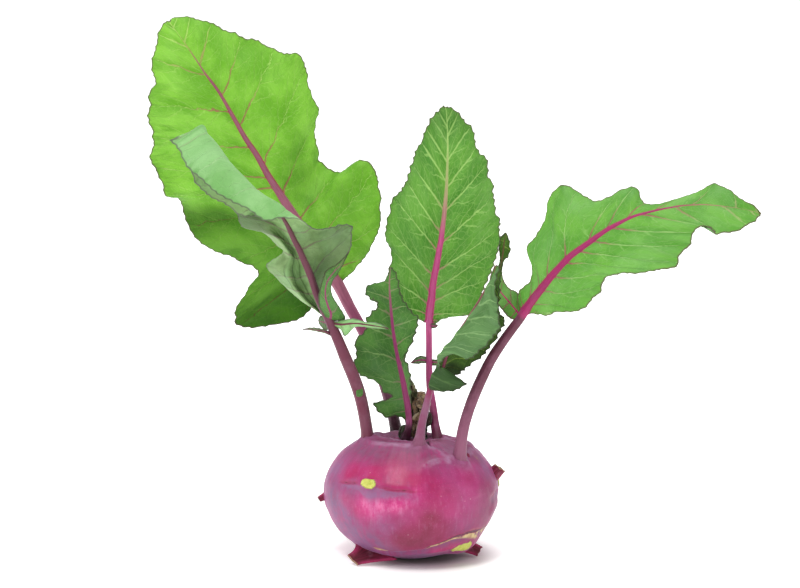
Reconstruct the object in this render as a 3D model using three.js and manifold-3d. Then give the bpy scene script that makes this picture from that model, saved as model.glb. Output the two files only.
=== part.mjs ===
// Purple kohlrabi with its leaves: a swollen stem (the bulb) standing on a small
// flat spot, six leaf stalks that rise from its crown, their blades, the small
// leaflets on the stalks, the cut stubs of older leaves and the young heart leaves.
// Units are millimetres, +Z is up and the origin is the middle of the flat spot.
import * as THREE from 'three';
import { mergeVertices } from 'three/addons/utils/BufferGeometryUtils.js';
import Module from 'manifold-3d';

// ---- driving dimensions ----
const BULB_DIAMETER = 82;        // widest part of the bulb
const BULB_HEIGHT = 57.4;        // flat spot to the shoulder of the crown
const FLAT_RADIUS = 8.5;          // radius of the flat spot it rests on
const CROWN_DIP = 3.2;           // how far the middle of the crown sinks
const BLADE_THICKNESS = 0.7;     // leaf tissue between the veins
const MIDRIB_HEIGHT = 1.1;       // how far the midrib stands out under a blade, at its base
const GAP = 0.3;                 // clearance kept between touching solids
const STALK_SIDES = 8;
const BULB_SIDES = 32;

// Half profile of the bulb as [radius, height], for a bulb of the size above.
const BULB_PROFILE = [
  [0, 0], [FLAT_RADIUS, 0], [15.6, 1.5], [23.2, 4.6], [29.8, 8.9], [35.2, 14.2], [39.0, 20.6],
  [40.8, 28], [BULB_DIAMETER / 2, 33], [40.0, 38.2], [37.2, 43.4], [32.8, 48.8], [27.2, 53.2],
  [21.4, 56], [16, BULB_HEIGHT], [11, BULB_HEIGHT - 0.5], [6.5, BULB_HEIGHT - 1.8],
  [3, BULB_HEIGHT - CROWN_DIP + 0.3], [0, BULB_HEIGHT - CROWN_DIP],
];

// Each blade is a net of stations from its base to its tip. A station lists the
// midrib point, then the points out to the left margin, then those out to the right.
const BLADES = {
  blade_back_left: { petiole: 'petiole_back_left', left: 2, right: 2, rows: [
    [-35.8,38.1,124.5,-36.3,38.1,124.8,-36.7,38.2,125,-35.3,38,124.1,-34.8,37.9,123.6], [-36.7,38.4,125.9,-40.1,36.4,121.9,-43.4,34.4,117.8,-33.6,37.5,126.3,-30.5,38.6,126.4],
    [-38.2,38.9,127.8,-47.5,33.9,117.4,-56.8,30.8,106.8,-31.6,37.7,130.9,-25.2,40.4,133.4], [-40.1,39.6,130.6,-57.1,33.9,117.3,-74,30.1,103.7,-29.7,37.4,135.8,-19.4,41.2,140.1],
    [-42.5,40.6,134.4,-63.7,35.1,120.2,-84.9,31.6,105.7,-28.7,38.2,142.5,-15.1,41.8,149.8], [-45.4,41.9,139,-63.4,38.8,126.9,-81.6,37.7,114.4,-29.7,39.6,150.8,-14.1,43.3,161.7],
    [-48.3,43.1,143.3,-60.6,42.1,135.8,-73.2,45.2,127.8,-32.9,43.5,159.7,-17.5,47.9,175.6], [-51.3,44.4,147.9,-67.5,44.5,140.7,-84,48.6,132.9,-37.5,46.7,164.9,-23.8,50.9,181.6],
    [-54.7,45.9,153.1,-76.7,46.9,147.6,-99.1,51.9,141.5,-43.5,52.9,163.6,-32.1,55.9,174.7], [-58.5,47.6,158.7,-83.9,48.3,157.4,-109.7,52.9,155.5,-50.2,58.2,168.8,-41.5,62.8,179.8],
    [-63.4,49.8,165.7,-88.7,41.9,165.4,-114.6,44,163.8,-55.1,57,177.7,-46.6,64.2,189.9], [-68.8,52.4,173.7,-94.2,42.5,175.1,-120.1,42.5,175.3,-57.5,55.9,189.3,-46.3,65.4,204.4],
    [-74.2,55.6,183,-98.9,46,183.8,-124.1,46.4,183.6,-62.1,58.8,202.6,-50.3,70.1,221.5], [-80.1,58.5,191.4,-101.7,51.7,194.1,-123.9,52.9,195.9,-67.7,61.3,211.6,-55.7,72,231.1],
    [-86.3,62.3,201.8,-105.9,56.4,203.8,-126.2,58.4,205.1,-76.6,63.8,218.3,-67.4,73.3,234.2], [-93,66.6,212.8,-109.1,60.8,213.9,-125.7,63,214.3,-86.6,67.6,225.4,-80.6,74.7,237.5],
    [-100,70.2,221.8,-112.4,67.2,224.6,-125.3,70.2,226.9,-95.9,71.9,232,-92,77.7,242], [-106.5,74,231,-115.1,72.9,233.3,-124,75.8,235.3,-104,76.8,238.7,-101.5,81.6,246.3],
    [-112.1,77.2,238.6,-116.6,77.7,240.9,-121.3,80.2,243,-110.7,79.3,243.4,-109.5,83.5,248.2], [-116.6,79.7,244.3,-118,80.5,244.9,-119.4,81.3,245.6,-115.5,81.5,246,-114.4,83.3,247.7],
    [-117.9,80.6,246.4,-118.2,81.1,246.4,-118.5,81.6,246.3,-117.6,81.2,246.6,-117.2,81.8,246.8],
  ] },
  blade_front_left: { petiole: 'petiole_front_left', left: 3, right: 2, rows: [
    [-37.6,-17.2,115.3,-37.8,-17.2,115.3,-38,-17.2,115.3,-38.1,-17.2,115.3,-37.4,-17.2,115.3,-37.2,-17.2,115.3], [-39,-18.6,118.8,-40.4,-16.6,118,-41.8,-17.6,118.6,-42.9,-16.7,119.4,-38.1,-15.8,119.7,-37.3,-13.9,120.3],
    [-41.2,-20.2,123.7,-44.6,-16.1,122.1,-47.2,-19.2,123.6,-50.8,-14.4,124.1,-39.5,-15.5,125.3,-38.6,-12.9,127.6], [-43,-21.8,128.7,-48.2,-16.8,127.3,-51.7,-20.8,128.5,-57.1,-13.1,129.1,-41.2,-17.4,132.1,-39,-13.8,135.3],
    [-44.7,-23.5,134.5,-50.9,-17.4,132.1,-55.2,-22.5,133.9,-61.8,-12.7,133.7,-39.8,-19.1,137.9,-35.3,-14.3,139.3], [-46.4,-25.1,139.4,-52.6,-19,137.5,-56.9,-24.3,140.2,-66.4,-13.5,140.1,-38.8,-20.7,142.8,-32.1,-15.7,142.1],
    [-48.2,-26.7,143.8,-52.5,-21.7,143.5,-55,-26,145.9,-58.6,-17.2,146.5,-37.8,-23.2,147.4,-28.8,-17.3,146.9], [-49.7,-28.2,147.7,-54.2,-23.3,147.8,-56.7,-27.5,150.3,-60.6,-21.6,150.4,-37.7,-25.6,150.9,-27.4,-19.8,151.5],
    [-51.2,-29.6,151.5,-56.4,-24.8,152.2,-60.7,-29.1,155.1,-67.8,-23.4,156.6,-38.5,-28.1,154.5,-27.1,-22.4,156], [-52.7,-31.1,154.9,-59,-26.4,156.6,-65.5,-30.7,159.9,-77.2,-24.9,160.2,-40.2,-32.2,156.5,-27.3,-22.8,159.7],
    [-54,-32.5,158.3,-60.2,-28.9,161,-67.2,-32.3,164.7,-78.1,-27.8,167.7,-44.2,-34.4,158.2,-34.9,-28.8,160.1], [-55.2,-33.8,161.3,-59.6,-31.1,162.7,-63.6,-33.3,164.4,-70.5,-29.5,165.7,-48.6,-36.7,160.8,-43.2,-36.8,161.2],
    [-56.5,-35.2,164.2,-60,-32.4,165.2,-62.6,-33.4,165.8,-65.4,-32.4,165.2,-51.6,-40.3,165.3,-49.6,-45.2,165.8], [-58,-35.5,166.7,-60.8,-33.2,167.3,-63.6,-32.8,166.7,-66.3,-32.3,165.2,-55,-42.7,169,-57.4,-49.3,166.7],
    [-60.3,-35.4,169.5,-63.1,-33.6,169.7,-65.8,-33.5,168.2,-69.4,-33.3,165.7,-58.9,-45,171.8,-64.4,-52.1,166.1], [-64.3,-35.1,172.5,-67.6,-33.2,171.8,-69.9,-32.1,169,-74.5,-32,165.8,-65.4,-47.5,176,-72.6,-54.8,171.1],
    [-68.7,-36.8,176.6,-71.9,-34.7,175.4,-75.1,-34.3,172.2,-80.2,-33.9,169,-71,-50.2,181,-79,-57.3,175.2], [-73.4,-39.4,181.5,-76.7,-37.2,179.8,-80.3,-36.8,176.2,-85.4,-36.3,172.5,-76.2,-51.8,185.9,-84.6,-58.8,178.9],
    [-78.2,-41.1,186.6,-81.4,-39.8,184.7,-85.5,-39.3,180.5,-91.2,-38.8,177.1,-80.8,-53.6,191.8,-89.7,-60.3,183.3], [-82.9,-42.8,192.2,-86.1,-41.5,189.8,-90.2,-41,185.7,-96.1,-40.4,181.6,-85,-55.4,197.8,-94.3,-62,188.2],
    [-87.5,-45.4,196.9,-90.3,-44.1,194.6,-93.5,-43.6,190.5,-98.5,-43.1,186.8,-88,-56.9,202.2,-98.6,-62.7,193.5], [-92.2,-47.9,200.8,-94.1,-46.6,198.4,-96.4,-46.1,194.8,-100,-45.7,191.6,-90.2,-58.5,206,-101.1,-63.3,198.4],
    [-95.5,-50.1,202.8,-97,-48.9,200.9,-98.4,-48.5,198.2,-101.1,-48.2,195.4,-92,-59.9,209.3,-102.7,-63.7,201.1], [-99.2,-54,203.6,-100.1,-53.5,202.6,-101.1,-52.8,200.9,-102.8,-53.2,199.3,-96.5,-61.5,207,-104.2,-63.9,202.4],
    [-103,-59.9,204,-103.5,-60,203.5,-103.9,-60,203,-104.5,-60.5,202.5,-101.5,-62.2,204.7,-105.4,-64,203.3],
  ] },
  blade_centre_left: { petiole: 'petiole_centre_left', left: 2, right: 2, rows: [
    [-0.6,3.7,63.2,-0.9,3.7,63.2,-1.2,3.7,63.2,-0.3,3.7,63.2,-0,3.7,63.2], [-0.9,3.9,66.1,-3.4,3.1,66,-5.9,2.8,65.8,-0.3,4,67.2,0.4,4,68.4],
    [-1.4,4.2,69.8,-6.7,2.4,68.4,-12,1.9,66.7,-0.5,4.3,71.3,0.4,4.4,72.7], [-2,4.4,73.6,-9.6,2.2,72.9,-17.2,1.3,71.9,-0.9,4.6,75.3,0.2,4.7,77],
    [-2.5,4.6,76,-5.7,3.7,75.3,-9,3.5,74.6,-1.4,4.8,77.9,-0.3,4.9,79.8], [-3,4.8,78.8,-8,3.7,79.4,-13,3.9,79.8,-1.7,5,81,-0.5,5.1,83.1],
    [-3.8,5.1,83.1,-14.8,1.8,85.6,-25.8,1.4,87.4,-2.7,5.4,86.2,-1.7,5.6,89.3], [-5,5.5,88.3,-15.2,1.7,91.9,-25.4,1.9,94.7,-3.6,5.2,91,-2.2,4.9,93.7],
    [-6,5.9,93,-15.7,2.2,97.6,-25.4,2.4,101.3,-3.2,4.5,95.7,-0.4,4.2,98.1], [-7,6.3,98.2,-14.2,4.1,102.7,-21.4,4.8,106.6,-2.8,4.3,100.7,1.4,3.6,103],
    [-7.8,6.6,103.4,-13.7,5.4,107.6,-19.5,6.2,111.4,-2.6,4.7,105.7,2.5,3.9,107.7], [-8.4,7,107.7,-12.8,6.6,111.3,-17.2,7.5,114.7,-2.6,5,110.2,3.1,4.3,112.4],
    [-8.8,7.3,111.9,-11.7,7.5,115,-14.6,8.7,117.9,-4.1,5.9,113.3,0.7,5.4,114.6], [-9.1,7.5,115.7,-14.1,8.8,118.6,-19.1,12,121.1,-5.5,6.4,117.3,-1.9,5.8,118.8],
    [-9.5,7.9,120.4,-15.2,9.6,122.4,-21,14.2,123.8,-6.5,7.2,121.7,-3.6,7.1,122.9], [-9.8,8.2,124.6,-14,10.3,125.7,-18.2,14.4,126.4,-7.4,7.6,125.7,-5,7.4,126.7],
    [-9.9,8.5,128.4,-11.2,10,128.5,-12.5,12.5,128.4,-7.9,8.3,129.3,-5.9,8.1,130.3], [-9.7,8.8,132.1,-10.3,9.3,132.5,-10.8,9.8,132.9,-8.4,8.8,132.8,-7.1,8.9,133.5],
    [-9.3,9,135.6,-9.6,9,135.7,-9.8,9,135.8,-9.1,9,135.7,-8.8,9,135.7],
  ] },
  blade_back: { petiole: 'petiole_back', left: 2, right: 2, rows: [
    [8.7,25.7,106.7,7.8,25.8,106.8,7,25.8,106.9,9.5,25.7,106.6,10.3,25.7,106.5], [8.8,26,107.9,5.3,24.7,108.9,1.7,25.4,109.7,14.3,24.7,108.9,19.8,25.4,109.7],
    [9,26.4,109.5,2.7,25.6,113,-3.5,28.9,115.8,19.4,24,110.6,29.9,25.7,111.1], [9.4,27.2,113.2,1.2,27.4,119.7,-6.9,33.5,125.3,22.2,26.4,118.2,35.2,31.6,122.2],
    [10.1,28.4,117.9,0.5,30,128.7,-9.1,39.6,138.4,24.7,29.1,126,39.6,35.9,133.2], [10.8,30.1,124.4,-0.5,32.5,136.6,-11.8,42.8,147.7,26.5,30.6,134.2,42.6,39,142.9],
    [13,33.4,135.5,1.8,35.9,148.2,-9.3,46.3,159.8,27.9,34.1,145,43.1,42.8,153.5], [14.9,37,146.1,5.9,39.5,157.8,-3,50,168.6,27.6,38.7,157.2,40.6,48.4,167.3],
    [16.4,41.3,157.6,8.8,44.8,168.3,1.3,54.3,178.3,26.9,43.5,167.9,37.5,51.8,177.6], [17.4,45.8,168.6,11,49.2,178.4,4.7,58.6,187.5,24.9,47.9,177.8,32.5,56,186.4],
    [17.9,50.9,180.1,13,54.1,187.8,8.1,61.3,195.1,23.8,53.7,188.1,29.7,60.6,195.6], [18.1,56,190.7,14.8,58.7,195.9,11.5,63.4,200.9,21.4,58.5,196.6,24.7,63,202.2],
    [17.8,60.3,199.1,16.1,61.6,201.6,14.5,64,204.1,19.3,61.9,202.1,20.8,64.5,205], [17.3,64,206,17,63.9,205.9,16.7,63.9,205.8,17.6,64,206,17.9,64,206],
  ] },
  blade_front: { petiole: 'petiole_front', left: 3, right: 2, rows: [
    [8.9,-20.5,83.6,8.7,-20.5,83.6,8.6,-21,83.6,8.5,-21.5,83.5,9.1,-20.1,83.7,9.3,-20.1,84], [9.8,-20.8,85.5,8.4,-24.8,86.3,11,-28.5,85.2,13.8,-28.4,83.9,11.6,-18.9,86.5,13.5,-18,86.8],
    [11.1,-21,87.9,9.2,-26,89.4,14.2,-30.7,87.1,19.7,-30.5,84.7,13.9,-19.2,89.9,17.2,-18.2,89.2], [12.5,-21.2,90.3,10.4,-26.3,92.3,16.9,-32,90.6,25.4,-30.8,87.9,16.2,-19.5,92.3,20.9,-18.2,89.5],
    [13.9,-21.5,92.7,11.7,-25.7,94.9,15.6,-30.5,94,22,-30.1,90.4,18,-19.8,94.7,23.2,-18.4,91.4], [14.8,-21.7,94.6,12.5,-24.8,96.2,13.3,-28.2,95.9,15.6,-28.4,93.4,20.3,-20,96.6,25.9,-18.6,93.1],
    [15.7,-22,97.5,12.3,-25,98.5,12.4,-29,98.6,13.3,-30.3,97.2,22.6,-20.2,98.5,30.5,-17.9,95.7], [17,-22.4,101.5,12.7,-28.3,101.3,14.6,-34.4,103.3,18.6,-35.4,103.5,25.4,-20.4,100.9,32.8,-18.2,98.1],
    [19.3,-22.8,105.6,14.6,-29.5,103.8,20,-36.5,104.9,26.3,-36.1,101.1,27.2,-20.8,104.3,34.6,-18.5,101], [22.5,-23.3,110.3,17.4,-29.8,106.7,24,-37.8,108.1,32.9,-36.5,105.1,30.4,-21.2,108.5,37.8,-19,105.8],
    [25.7,-23.9,115.5,21.2,-30.3,111.4,28.5,-38.3,113.1,37.4,-36.2,110.8,33.1,-21.8,113.8,40.5,-19.5,110.6], [28.8,-25.5,120.9,25,-30.8,116.3,32.1,-38,118.5,40.5,-35.7,115.3,35.7,-23.3,119.2,43,-20.9,115],
    [31.9,-27,126.3,28.9,-31.3,121,34.3,-37.5,123.5,39.6,-35.3,121.3,37,-24.8,124.1,41.2,-23.3,119.2], [34.6,-28.5,131.6,32,-31.8,125.7,35.7,-36,128.3,39.2,-34.8,126.2,37.8,-27.3,129.6,40.2,-25.9,125.2],
    [37.2,-30,136.5,33.6,-32.5,131.3,36.1,-35.6,133.2,38.2,-34.5,132.1,39.1,-28.8,134.4,40.3,-27.5,131.5], [39.4,-30.5,140.9,36.9,-32.2,137.7,37.5,-34.1,137.8,38.8,-34.1,137.6,40.4,-29.9,139.7,41.1,-29.2,138.2],
    [40.8,-30.9,144.4,40.3,-31.4,144.2,40,-32.3,144.2,40.2,-32.8,143.8,41.2,-30.7,144.4,41.7,-30.4,144.1], [41.7,-30.4,148.9,40.8,-30.4,149.1,40.3,-31.4,149.3,39.9,-32.4,149.4,43.1,-29.3,148.1,44.5,-28.2,147.2],
    [42.1,-29.8,152.9,41.2,-29.9,153.2,40.5,-30.9,153.6,39.9,-32,154.2,43.5,-28.8,152.3,44.9,-27.7,151.3], [42.6,-29.2,155.8,41.9,-29.7,156,41.2,-30.2,156.1,40.5,-30.7,156,43.5,-28.7,155.5,44.4,-28.1,155],
    [42.8,-28.9,157.6,42.7,-28.9,157.6,42.6,-29,157.5,42.5,-29.1,157.5,42.9,-28.9,157.6,43.1,-28.8,157.5],
  ] },
  blade_right: { petiole: 'petiole_right', left: 2, right: 2, rows: [
    [51.2,-25.4,119.5,50.7,-25.3,119.9,50.3,-25.3,120.2,51.7,-25.5,119.2,52.1,-25.5,118.9], [52.5,-25.6,121.7,50.7,-25.8,124.8,48.9,-24.1,127.6,54.8,-26.5,120.8,57,-27.3,119.9],
    [54.3,-25.9,124.2,52.9,-25.7,128.1,51.6,-23.5,131.7,58.1,-29,122.2,61.9,-30.1,119.9], [56.6,-26.2,127.3,55.7,-25.1,131.4,54.9,-22,135.2,62.5,-31.2,124.9,68.4,-34.1,122.2],
    [59.2,-26.7,130.8,57.3,-24.4,136.5,55.4,-20,141.8,67,-34.4,127.3,74.9,-38.2,123.1], [61.9,-27.1,134.4,57.5,-23.9,141.5,53.2,-16.7,148,70.7,-36,130.4,79.7,-41,125.9],
    [64.6,-27.5,137.9,61.1,-23.5,146.9,57.8,-15.4,155.5,74.6,-37.2,135.3,84.8,-42.8,132.1], [67.7,-28,141.4,64.8,-23,153,62.2,-14.1,164.1,76.8,-37.5,139.8,86.1,-43,137.6],
    [70.8,-28.5,144.9,66.9,-22.9,158.4,63.3,-13.2,171.3,81,-38.2,143.4,91.4,-43.8,141.2], [73.9,-29,147.8,71.2,-23,162.4,68.7,-13.1,176.6,87.1,-40.7,145.1,100.5,-46.3,141.6],
    [77.5,-29.5,150.6,76.1,-24.3,163.1,75,-15,175.3,94.1,-42.3,147.5,111,-49,143.6], [81,-30.1,153.4,81.2,-26.1,162.5,81.7,-18.1,171,99.8,-43.2,149.9,118.8,-50.3,145.6],
    [85,-30.7,156.5,86.8,-27.5,164.3,88.8,-20.2,171.5,102,-43,153.9,119.3,-49.3,150.4], [89.4,-31.4,159.6,92.1,-27.8,168,95.1,-20.2,175.9,106.8,-42.3,157.5,124.3,-49.1,154.9],
    [94.3,-32.2,162.4,97.7,-28.7,170,101.4,-21.2,177.2,109.7,-41.7,161.2,125.4,-47.3,159.5], [100,-33.1,165.3,102.2,-30.4,168.8,104.5,-25.7,172,113.9,-41.4,164.4,127.9,-45.7,162.9],
    [106.7,-34.2,167.4,108.6,-32.4,169.3,110.8,-28.7,170.8,119.7,-40.8,165.1,132.9,-45.4,162.4], [114.6,-35.4,169.4,116.8,-33.2,171.2,119.3,-29,172.7,125.2,-42.2,164.9,135.9,-46.9,160.2],
    [124.3,-37,171,126.6,-34.3,173.7,129.1,-29.6,176.2,133.3,-43.5,166,142.4,-48,160.8], [134.9,-38.6,171.2,135.8,-35.7,175.6,137,-30.8,179.7,141.7,-43.8,167.3,148.7,-47,163.1],
    [145.4,-40.3,170.1,145.1,-38.8,173.4,145.1,-35.2,176.4,149.2,-44,167.7,153.3,-45.7,165.2], [152.5,-41.4,168.9,152.3,-40.4,170.7,152.2,-39.4,172.4,154,-42.7,167.8,155.5,-44,166.7],
    [156.4,-42.1,168.1,156.3,-42,168.3,156.1,-42,168.5,156.4,-42.1,167.8,156.4,-42.1,167.6],
  ] },
  leaflet_front_left_1: { petiole: 'petiole_front_left', left: 2, right: 2, rows: [
    [-37.2,-18.2,115.3,-37.5,-18.2,115.1,-37.9,-18.1,115,-36.3,-17.7,115.1,-35.4,-17.1,114.8], [-36.6,-22.2,119,-38.3,-22.2,119.2,-40,-22.2,119.5,-33.5,-19.5,117.4,-30.3,-16.9,115.8],
    [-37.9,-24.3,123,-39.9,-24.6,123.1,-41.9,-24.8,123.1,-35.5,-21.8,122.6,-33.2,-19.3,122.2], [-38.9,-26.6,127.6,-40.6,-26.9,127.8,-42.3,-27.1,128.1,-37.4,-24.6,127.5,-35.8,-22.6,127.4],
    [-38.9,-28,132,-40.1,-28.6,132.3,-41.4,-29.1,132.6,-37.7,-26.5,131.9,-36.5,-25.1,131.8], [-37.7,-28.6,136,-38.9,-29.2,136.7,-40,-29.8,137.3,-36.5,-27.1,135.6,-35.3,-25.6,135.3],
    [-35.4,-28,139.1,-36.8,-28.6,139.8,-38.1,-29.2,140.4,-34.2,-27,138.7,-33,-26,138.3], [-32.3,-26.5,142.3,-33,-27,142.5,-33.8,-27.5,142.7,-31.5,-26,142.4,-30.7,-25.5,142.4],
    [-29.6,-25,146.3,-29.9,-25.5,146.1,-30.2,-26,145.9,-29.2,-25,146.3,-28.9,-25,146.3], [-28.2,-24.3,148.2,-28.3,-24.3,148.1,-28.4,-24.3,148,-28.1,-24.3,148.2,-28,-24.3,148.2],
  ] },
  leaflet_front_left_2: { petiole: 'petiole_front_left', left: 2, right: 2, rows: [
    [-35.8,-17.9,113.8,-35.9,-17.9,114.3,-36,-18,114.7,-35.7,-17.8,113.2,-35.5,-17.7,112.6], [-32,-20.8,113.8,-31.6,-20,114.7,-31.1,-19.1,115.5,-32.1,-19.2,112.4,-32.1,-17.5,110.9],
    [-28.8,-21.9,114.3,-27.7,-21,115.3,-26.5,-20.2,116.3,-29.5,-19,111.1,-30.3,-16.2,107.9], [-25.1,-21.9,114.5,-24.5,-21,115.1,-23.8,-20.1,115.7,-25.5,-19.8,113.2,-25.9,-17.7,111.9],
    [-21.5,-21.8,114.1,-21,-20.9,114.4,-20.6,-20,114.7,-21.7,-20.3,113.3,-22,-18.7,112.5], [-17.4,-20.8,113.3,-16.9,-19.8,113.8,-16.5,-18.9,114.3,-17.5,-19.2,112.4,-17.6,-17.6,111.4],
    [-13.7,-18.7,112.3,-13.5,-18.2,112.7,-13.3,-17.8,113.1,-13.7,-17.6,111.6,-13.7,-16.6,111], [-10.2,-16.6,111.1,-10.2,-16.6,111.2,-10.2,-16.6,111.3,-10.3,-16.6,111,-10.4,-16.5,110.9],
  ] },
  leaflet_front_left_3: { petiole: 'petiole_front_left', left: 2, right: 2, rows: [
    [-37.2,-16.4,108.8,-37.4,-16.5,109.3,-37.5,-16.5,109.8,-37,-16.3,108.2,-36.8,-16.2,107.6], [-39.5,-18.5,110.1,-39.6,-18.6,110.6,-39.7,-18.6,111,-39.4,-18,109.6,-39.3,-17.4,109],
    [-42.7,-19.6,110.9,-42.8,-19.6,111.4,-42.9,-19.7,111.9,-42.6,-19,110.5,-42.5,-18.5,110], [-45.9,-19.6,111.4,-46,-19.7,111.7,-46.1,-19.7,112.1,-45.8,-19.1,111,-45.7,-18.6,110.7],
    [-48.2,-18.7,111.3,-48.2,-18.7,111.5,-48.2,-18.7,111.6,-48.1,-18.6,111.2,-48,-18.6,111], [-49.9,-17.6,111,-49.8,-17.6,111,-49.8,-17.7,111.1,-49.8,-17.6,110.9,-49.8,-17.6,110.8],
  ] },
  leaflet_front_left_4: { petiole: 'petiole_front_left', left: 2, right: 2, rows: [
    [-37.7,-16,113.2,-38,-16.1,114.2,-38.3,-16.2,115.1,-37.6,-15.8,112,-37.5,-15.7,110.8], [-39.6,-14,113.6,-39.7,-14.2,115,-39.8,-14.4,116.5,-39.5,-13.8,111.8,-39.4,-13.6,110],
    [-41.3,-12.1,113.7,-41.5,-12.3,114.9,-41.8,-12.4,116.1,-41.3,-11.9,112.3,-41.3,-11.8,110.8], [-42.7,-10.1,113.5,-42.8,-10.2,113.8,-42.8,-10.2,114.1,-42.6,-10.1,113.1,-42.6,-10,112.7],
  ] },
  leaflet_right_1: { petiole: 'petiole_right', left: 2, right: 2, rows: [
    [50.5,-25.2,118.3,50.8,-24.8,118.9,51,-24.5,119.4,49.9,-25.6,117.8,49.4,-26,117.3], [48.3,-24,120.7,49,-23,123.1,49.7,-22,125.4,47.7,-24.8,118.8,47.1,-25.5,116.9],
    [45.8,-22,123.6,47.3,-20.5,126.1,48.8,-19,128.6,45.1,-23.2,120.8,44.4,-24.5,118], [42.7,-19,126.8,44,-17.5,128.4,45.4,-16,130,42.1,-20.5,124,41.5,-22,121.3],
    [40.1,-16,129.8,41.6,-14.5,131.3,43.1,-13,132.8,39.1,-17.5,127.5,38.2,-19,125.2], [38.8,-13,132.8,40.4,-11.5,134.4,42,-10,136,37.5,-14.5,131.2,36.2,-16,129.5],
    [38.6,-10.5,136.6,39.7,-9.8,137.6,40.7,-9,138.7,37.6,-11.5,135.6,36.5,-12.5,134.6], [39.1,-9,139.4,39.4,-9,139.5,39.6,-9,139.6,38.9,-9,139.3,38.7,-9,139.2],
  ] },
  leaflet_back_1: { petiole: 'petiole_back', left: 2, right: 2, rows: [
    [8.1,22.3,88.4,8.1,22.4,89.2,8.1,22.5,90.1,8.1,22.2,87.9,8.1,22.1,87.5], [5.5,20.8,89.2,5.4,21.3,90.1,5.3,21.7,91.1,5.5,21,88.4,5.5,21.1,87.7],
    [3.1,20.3,89,3,20.7,89.7,2.9,21,90.4,3.2,20.4,88.2,3.3,20.6,87.4], [0.3,20.1,88,0.3,20.2,88.1,0.4,20.2,88.3,0.5,20.1,87.8,0.7,20.1,87.7],
  ] },
  leaflet_back_2: { petiole: 'petiole_back', left: 2, right: 2, rows: [
    [9.8,22.2,87.9,9.8,22.3,88.5,9.8,22.4,89.1,9.9,22.1,87.2,9.9,22,86.5], [11.5,21.2,88.1,11.4,21.3,88.7,11.2,21.4,89.3,11.5,21,87.2,11.5,20.9,86.3],
    [13.4,20.2,88.1,13.2,20.2,88.6,13.1,20.3,89.1,13.2,20,87.3,13.1,19.9,86.4], [15,20.1,87.6,15,20.1,87.7,15,20.1,87.9,15,20,87.4,14.9,20,87.2],
  ] },
  leaflet_back_3: { petiole: 'petiole_back', left: 2, right: 2, rows: [
    [9.6,25.4,105.1,9.7,25.5,105.7,9.8,25.6,106.2,9.7,25.3,104.5,9.8,25.1,103.9], [11,23.3,105.2,11.1,23.4,105.7,11.1,23.5,106.2,10.9,23.5,104.6,10.8,23.6,104.1],
    [12.4,22.3,105.3,12.4,22.4,105.7,12.5,22.5,106,12.3,22.4,104.9,12.2,22.6,104.6], [13.1,22.4,105.7,13.1,22.4,105.7,13.1,22.4,105.8,13.1,22.4,105.6,13,22.3,105.5],
  ] },
};
// Leaf stalks: centre line from blade to bulb as [x, y, z, radius].
const PETIOLES = {
  petiole_back_left: [
    [-35.8,38.1,124.5,3], [-32.9,36.8,119.4,2.85], [-28.8,34.9,111.5,2.7], [-24.2,33.2,103.6,2.65], [-19.4,31.2,94,2.6], [-14.6,28.9,81.7,2.6], [-10.7,26.9,69.9,2.65], [-8.3,25.5,60.9,2.75], [-7.1,24.5,55.2,2.9], [-6.2,22,49.9,3.4],
  ],
  petiole_front_left: [
    [-37.6,-17.2,115.3,2.15], [-33.6,-15,105.5,2.5], [-30,-12.8,95.9,2.75], [-26.3,-10.7,86.5,2.85], [-23.8,-8.7,78.5,2.85], [-22,-6.7,69.8,2.8], [-20.7,-5.1,61,2.9], [-20.2,-4.5,56.8,3.2], [-19.8,-4,52.4,4],
  ],
  petiole_centre_left: [
    [-0.6,3.7,63.2,1.5], [-0.8,3.5,60.3,1.6], [-1.7,3.6,57.4,1.9], [-2.6,4,54,2.6],
  ],
  petiole_back: [
    [8.7,25.7,106.7,1.5], [8.9,23.9,97.8,1.5], [8.9,22,87,1.55], [9.2,20.4,77.1,1.65], [10.2,17.8,70.8,1.75], [10.9,14,65.8,1.9], [11.5,9.6,60.9,2.05], [12.3,5.6,57,2.3], [13,2.8,53.7,3], [13.2,1.2,50.2,4],
  ],
  petiole_front: [
    [8.9,-20.5,83.6,1.45], [7.6,-19.2,77.2,1.6], [6.6,-18.8,72.8,1.75], [5.4,-18.8,68.1,1.85], [4.7,-19,63.4,2.05], [4.2,-19.6,59.8,2.5], [3.8,-20.2,56.4,3.8], [3.5,-19.2,53.5,5],
  ],
  petiole_right: [
    [51.2,-25.4,119.5,2.1], [49.9,-25.2,117.3,2.15], [46.1,-24.6,112.1,2.2], [41.2,-23.8,104.9,2.3], [36.8,-23.2,97.7,2.4], [32.9,-22.6,89.5,2.5], [29.4,-22,81.2,2.55], [26.5,-21.6,73,2.6], [24.3,-21.2,64.7,2.65], [23.1,-21,56.5,2.8], [22.6,-20,51.1,3.4], [22.4,-18,47.1,4.4],
  ],
};

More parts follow.
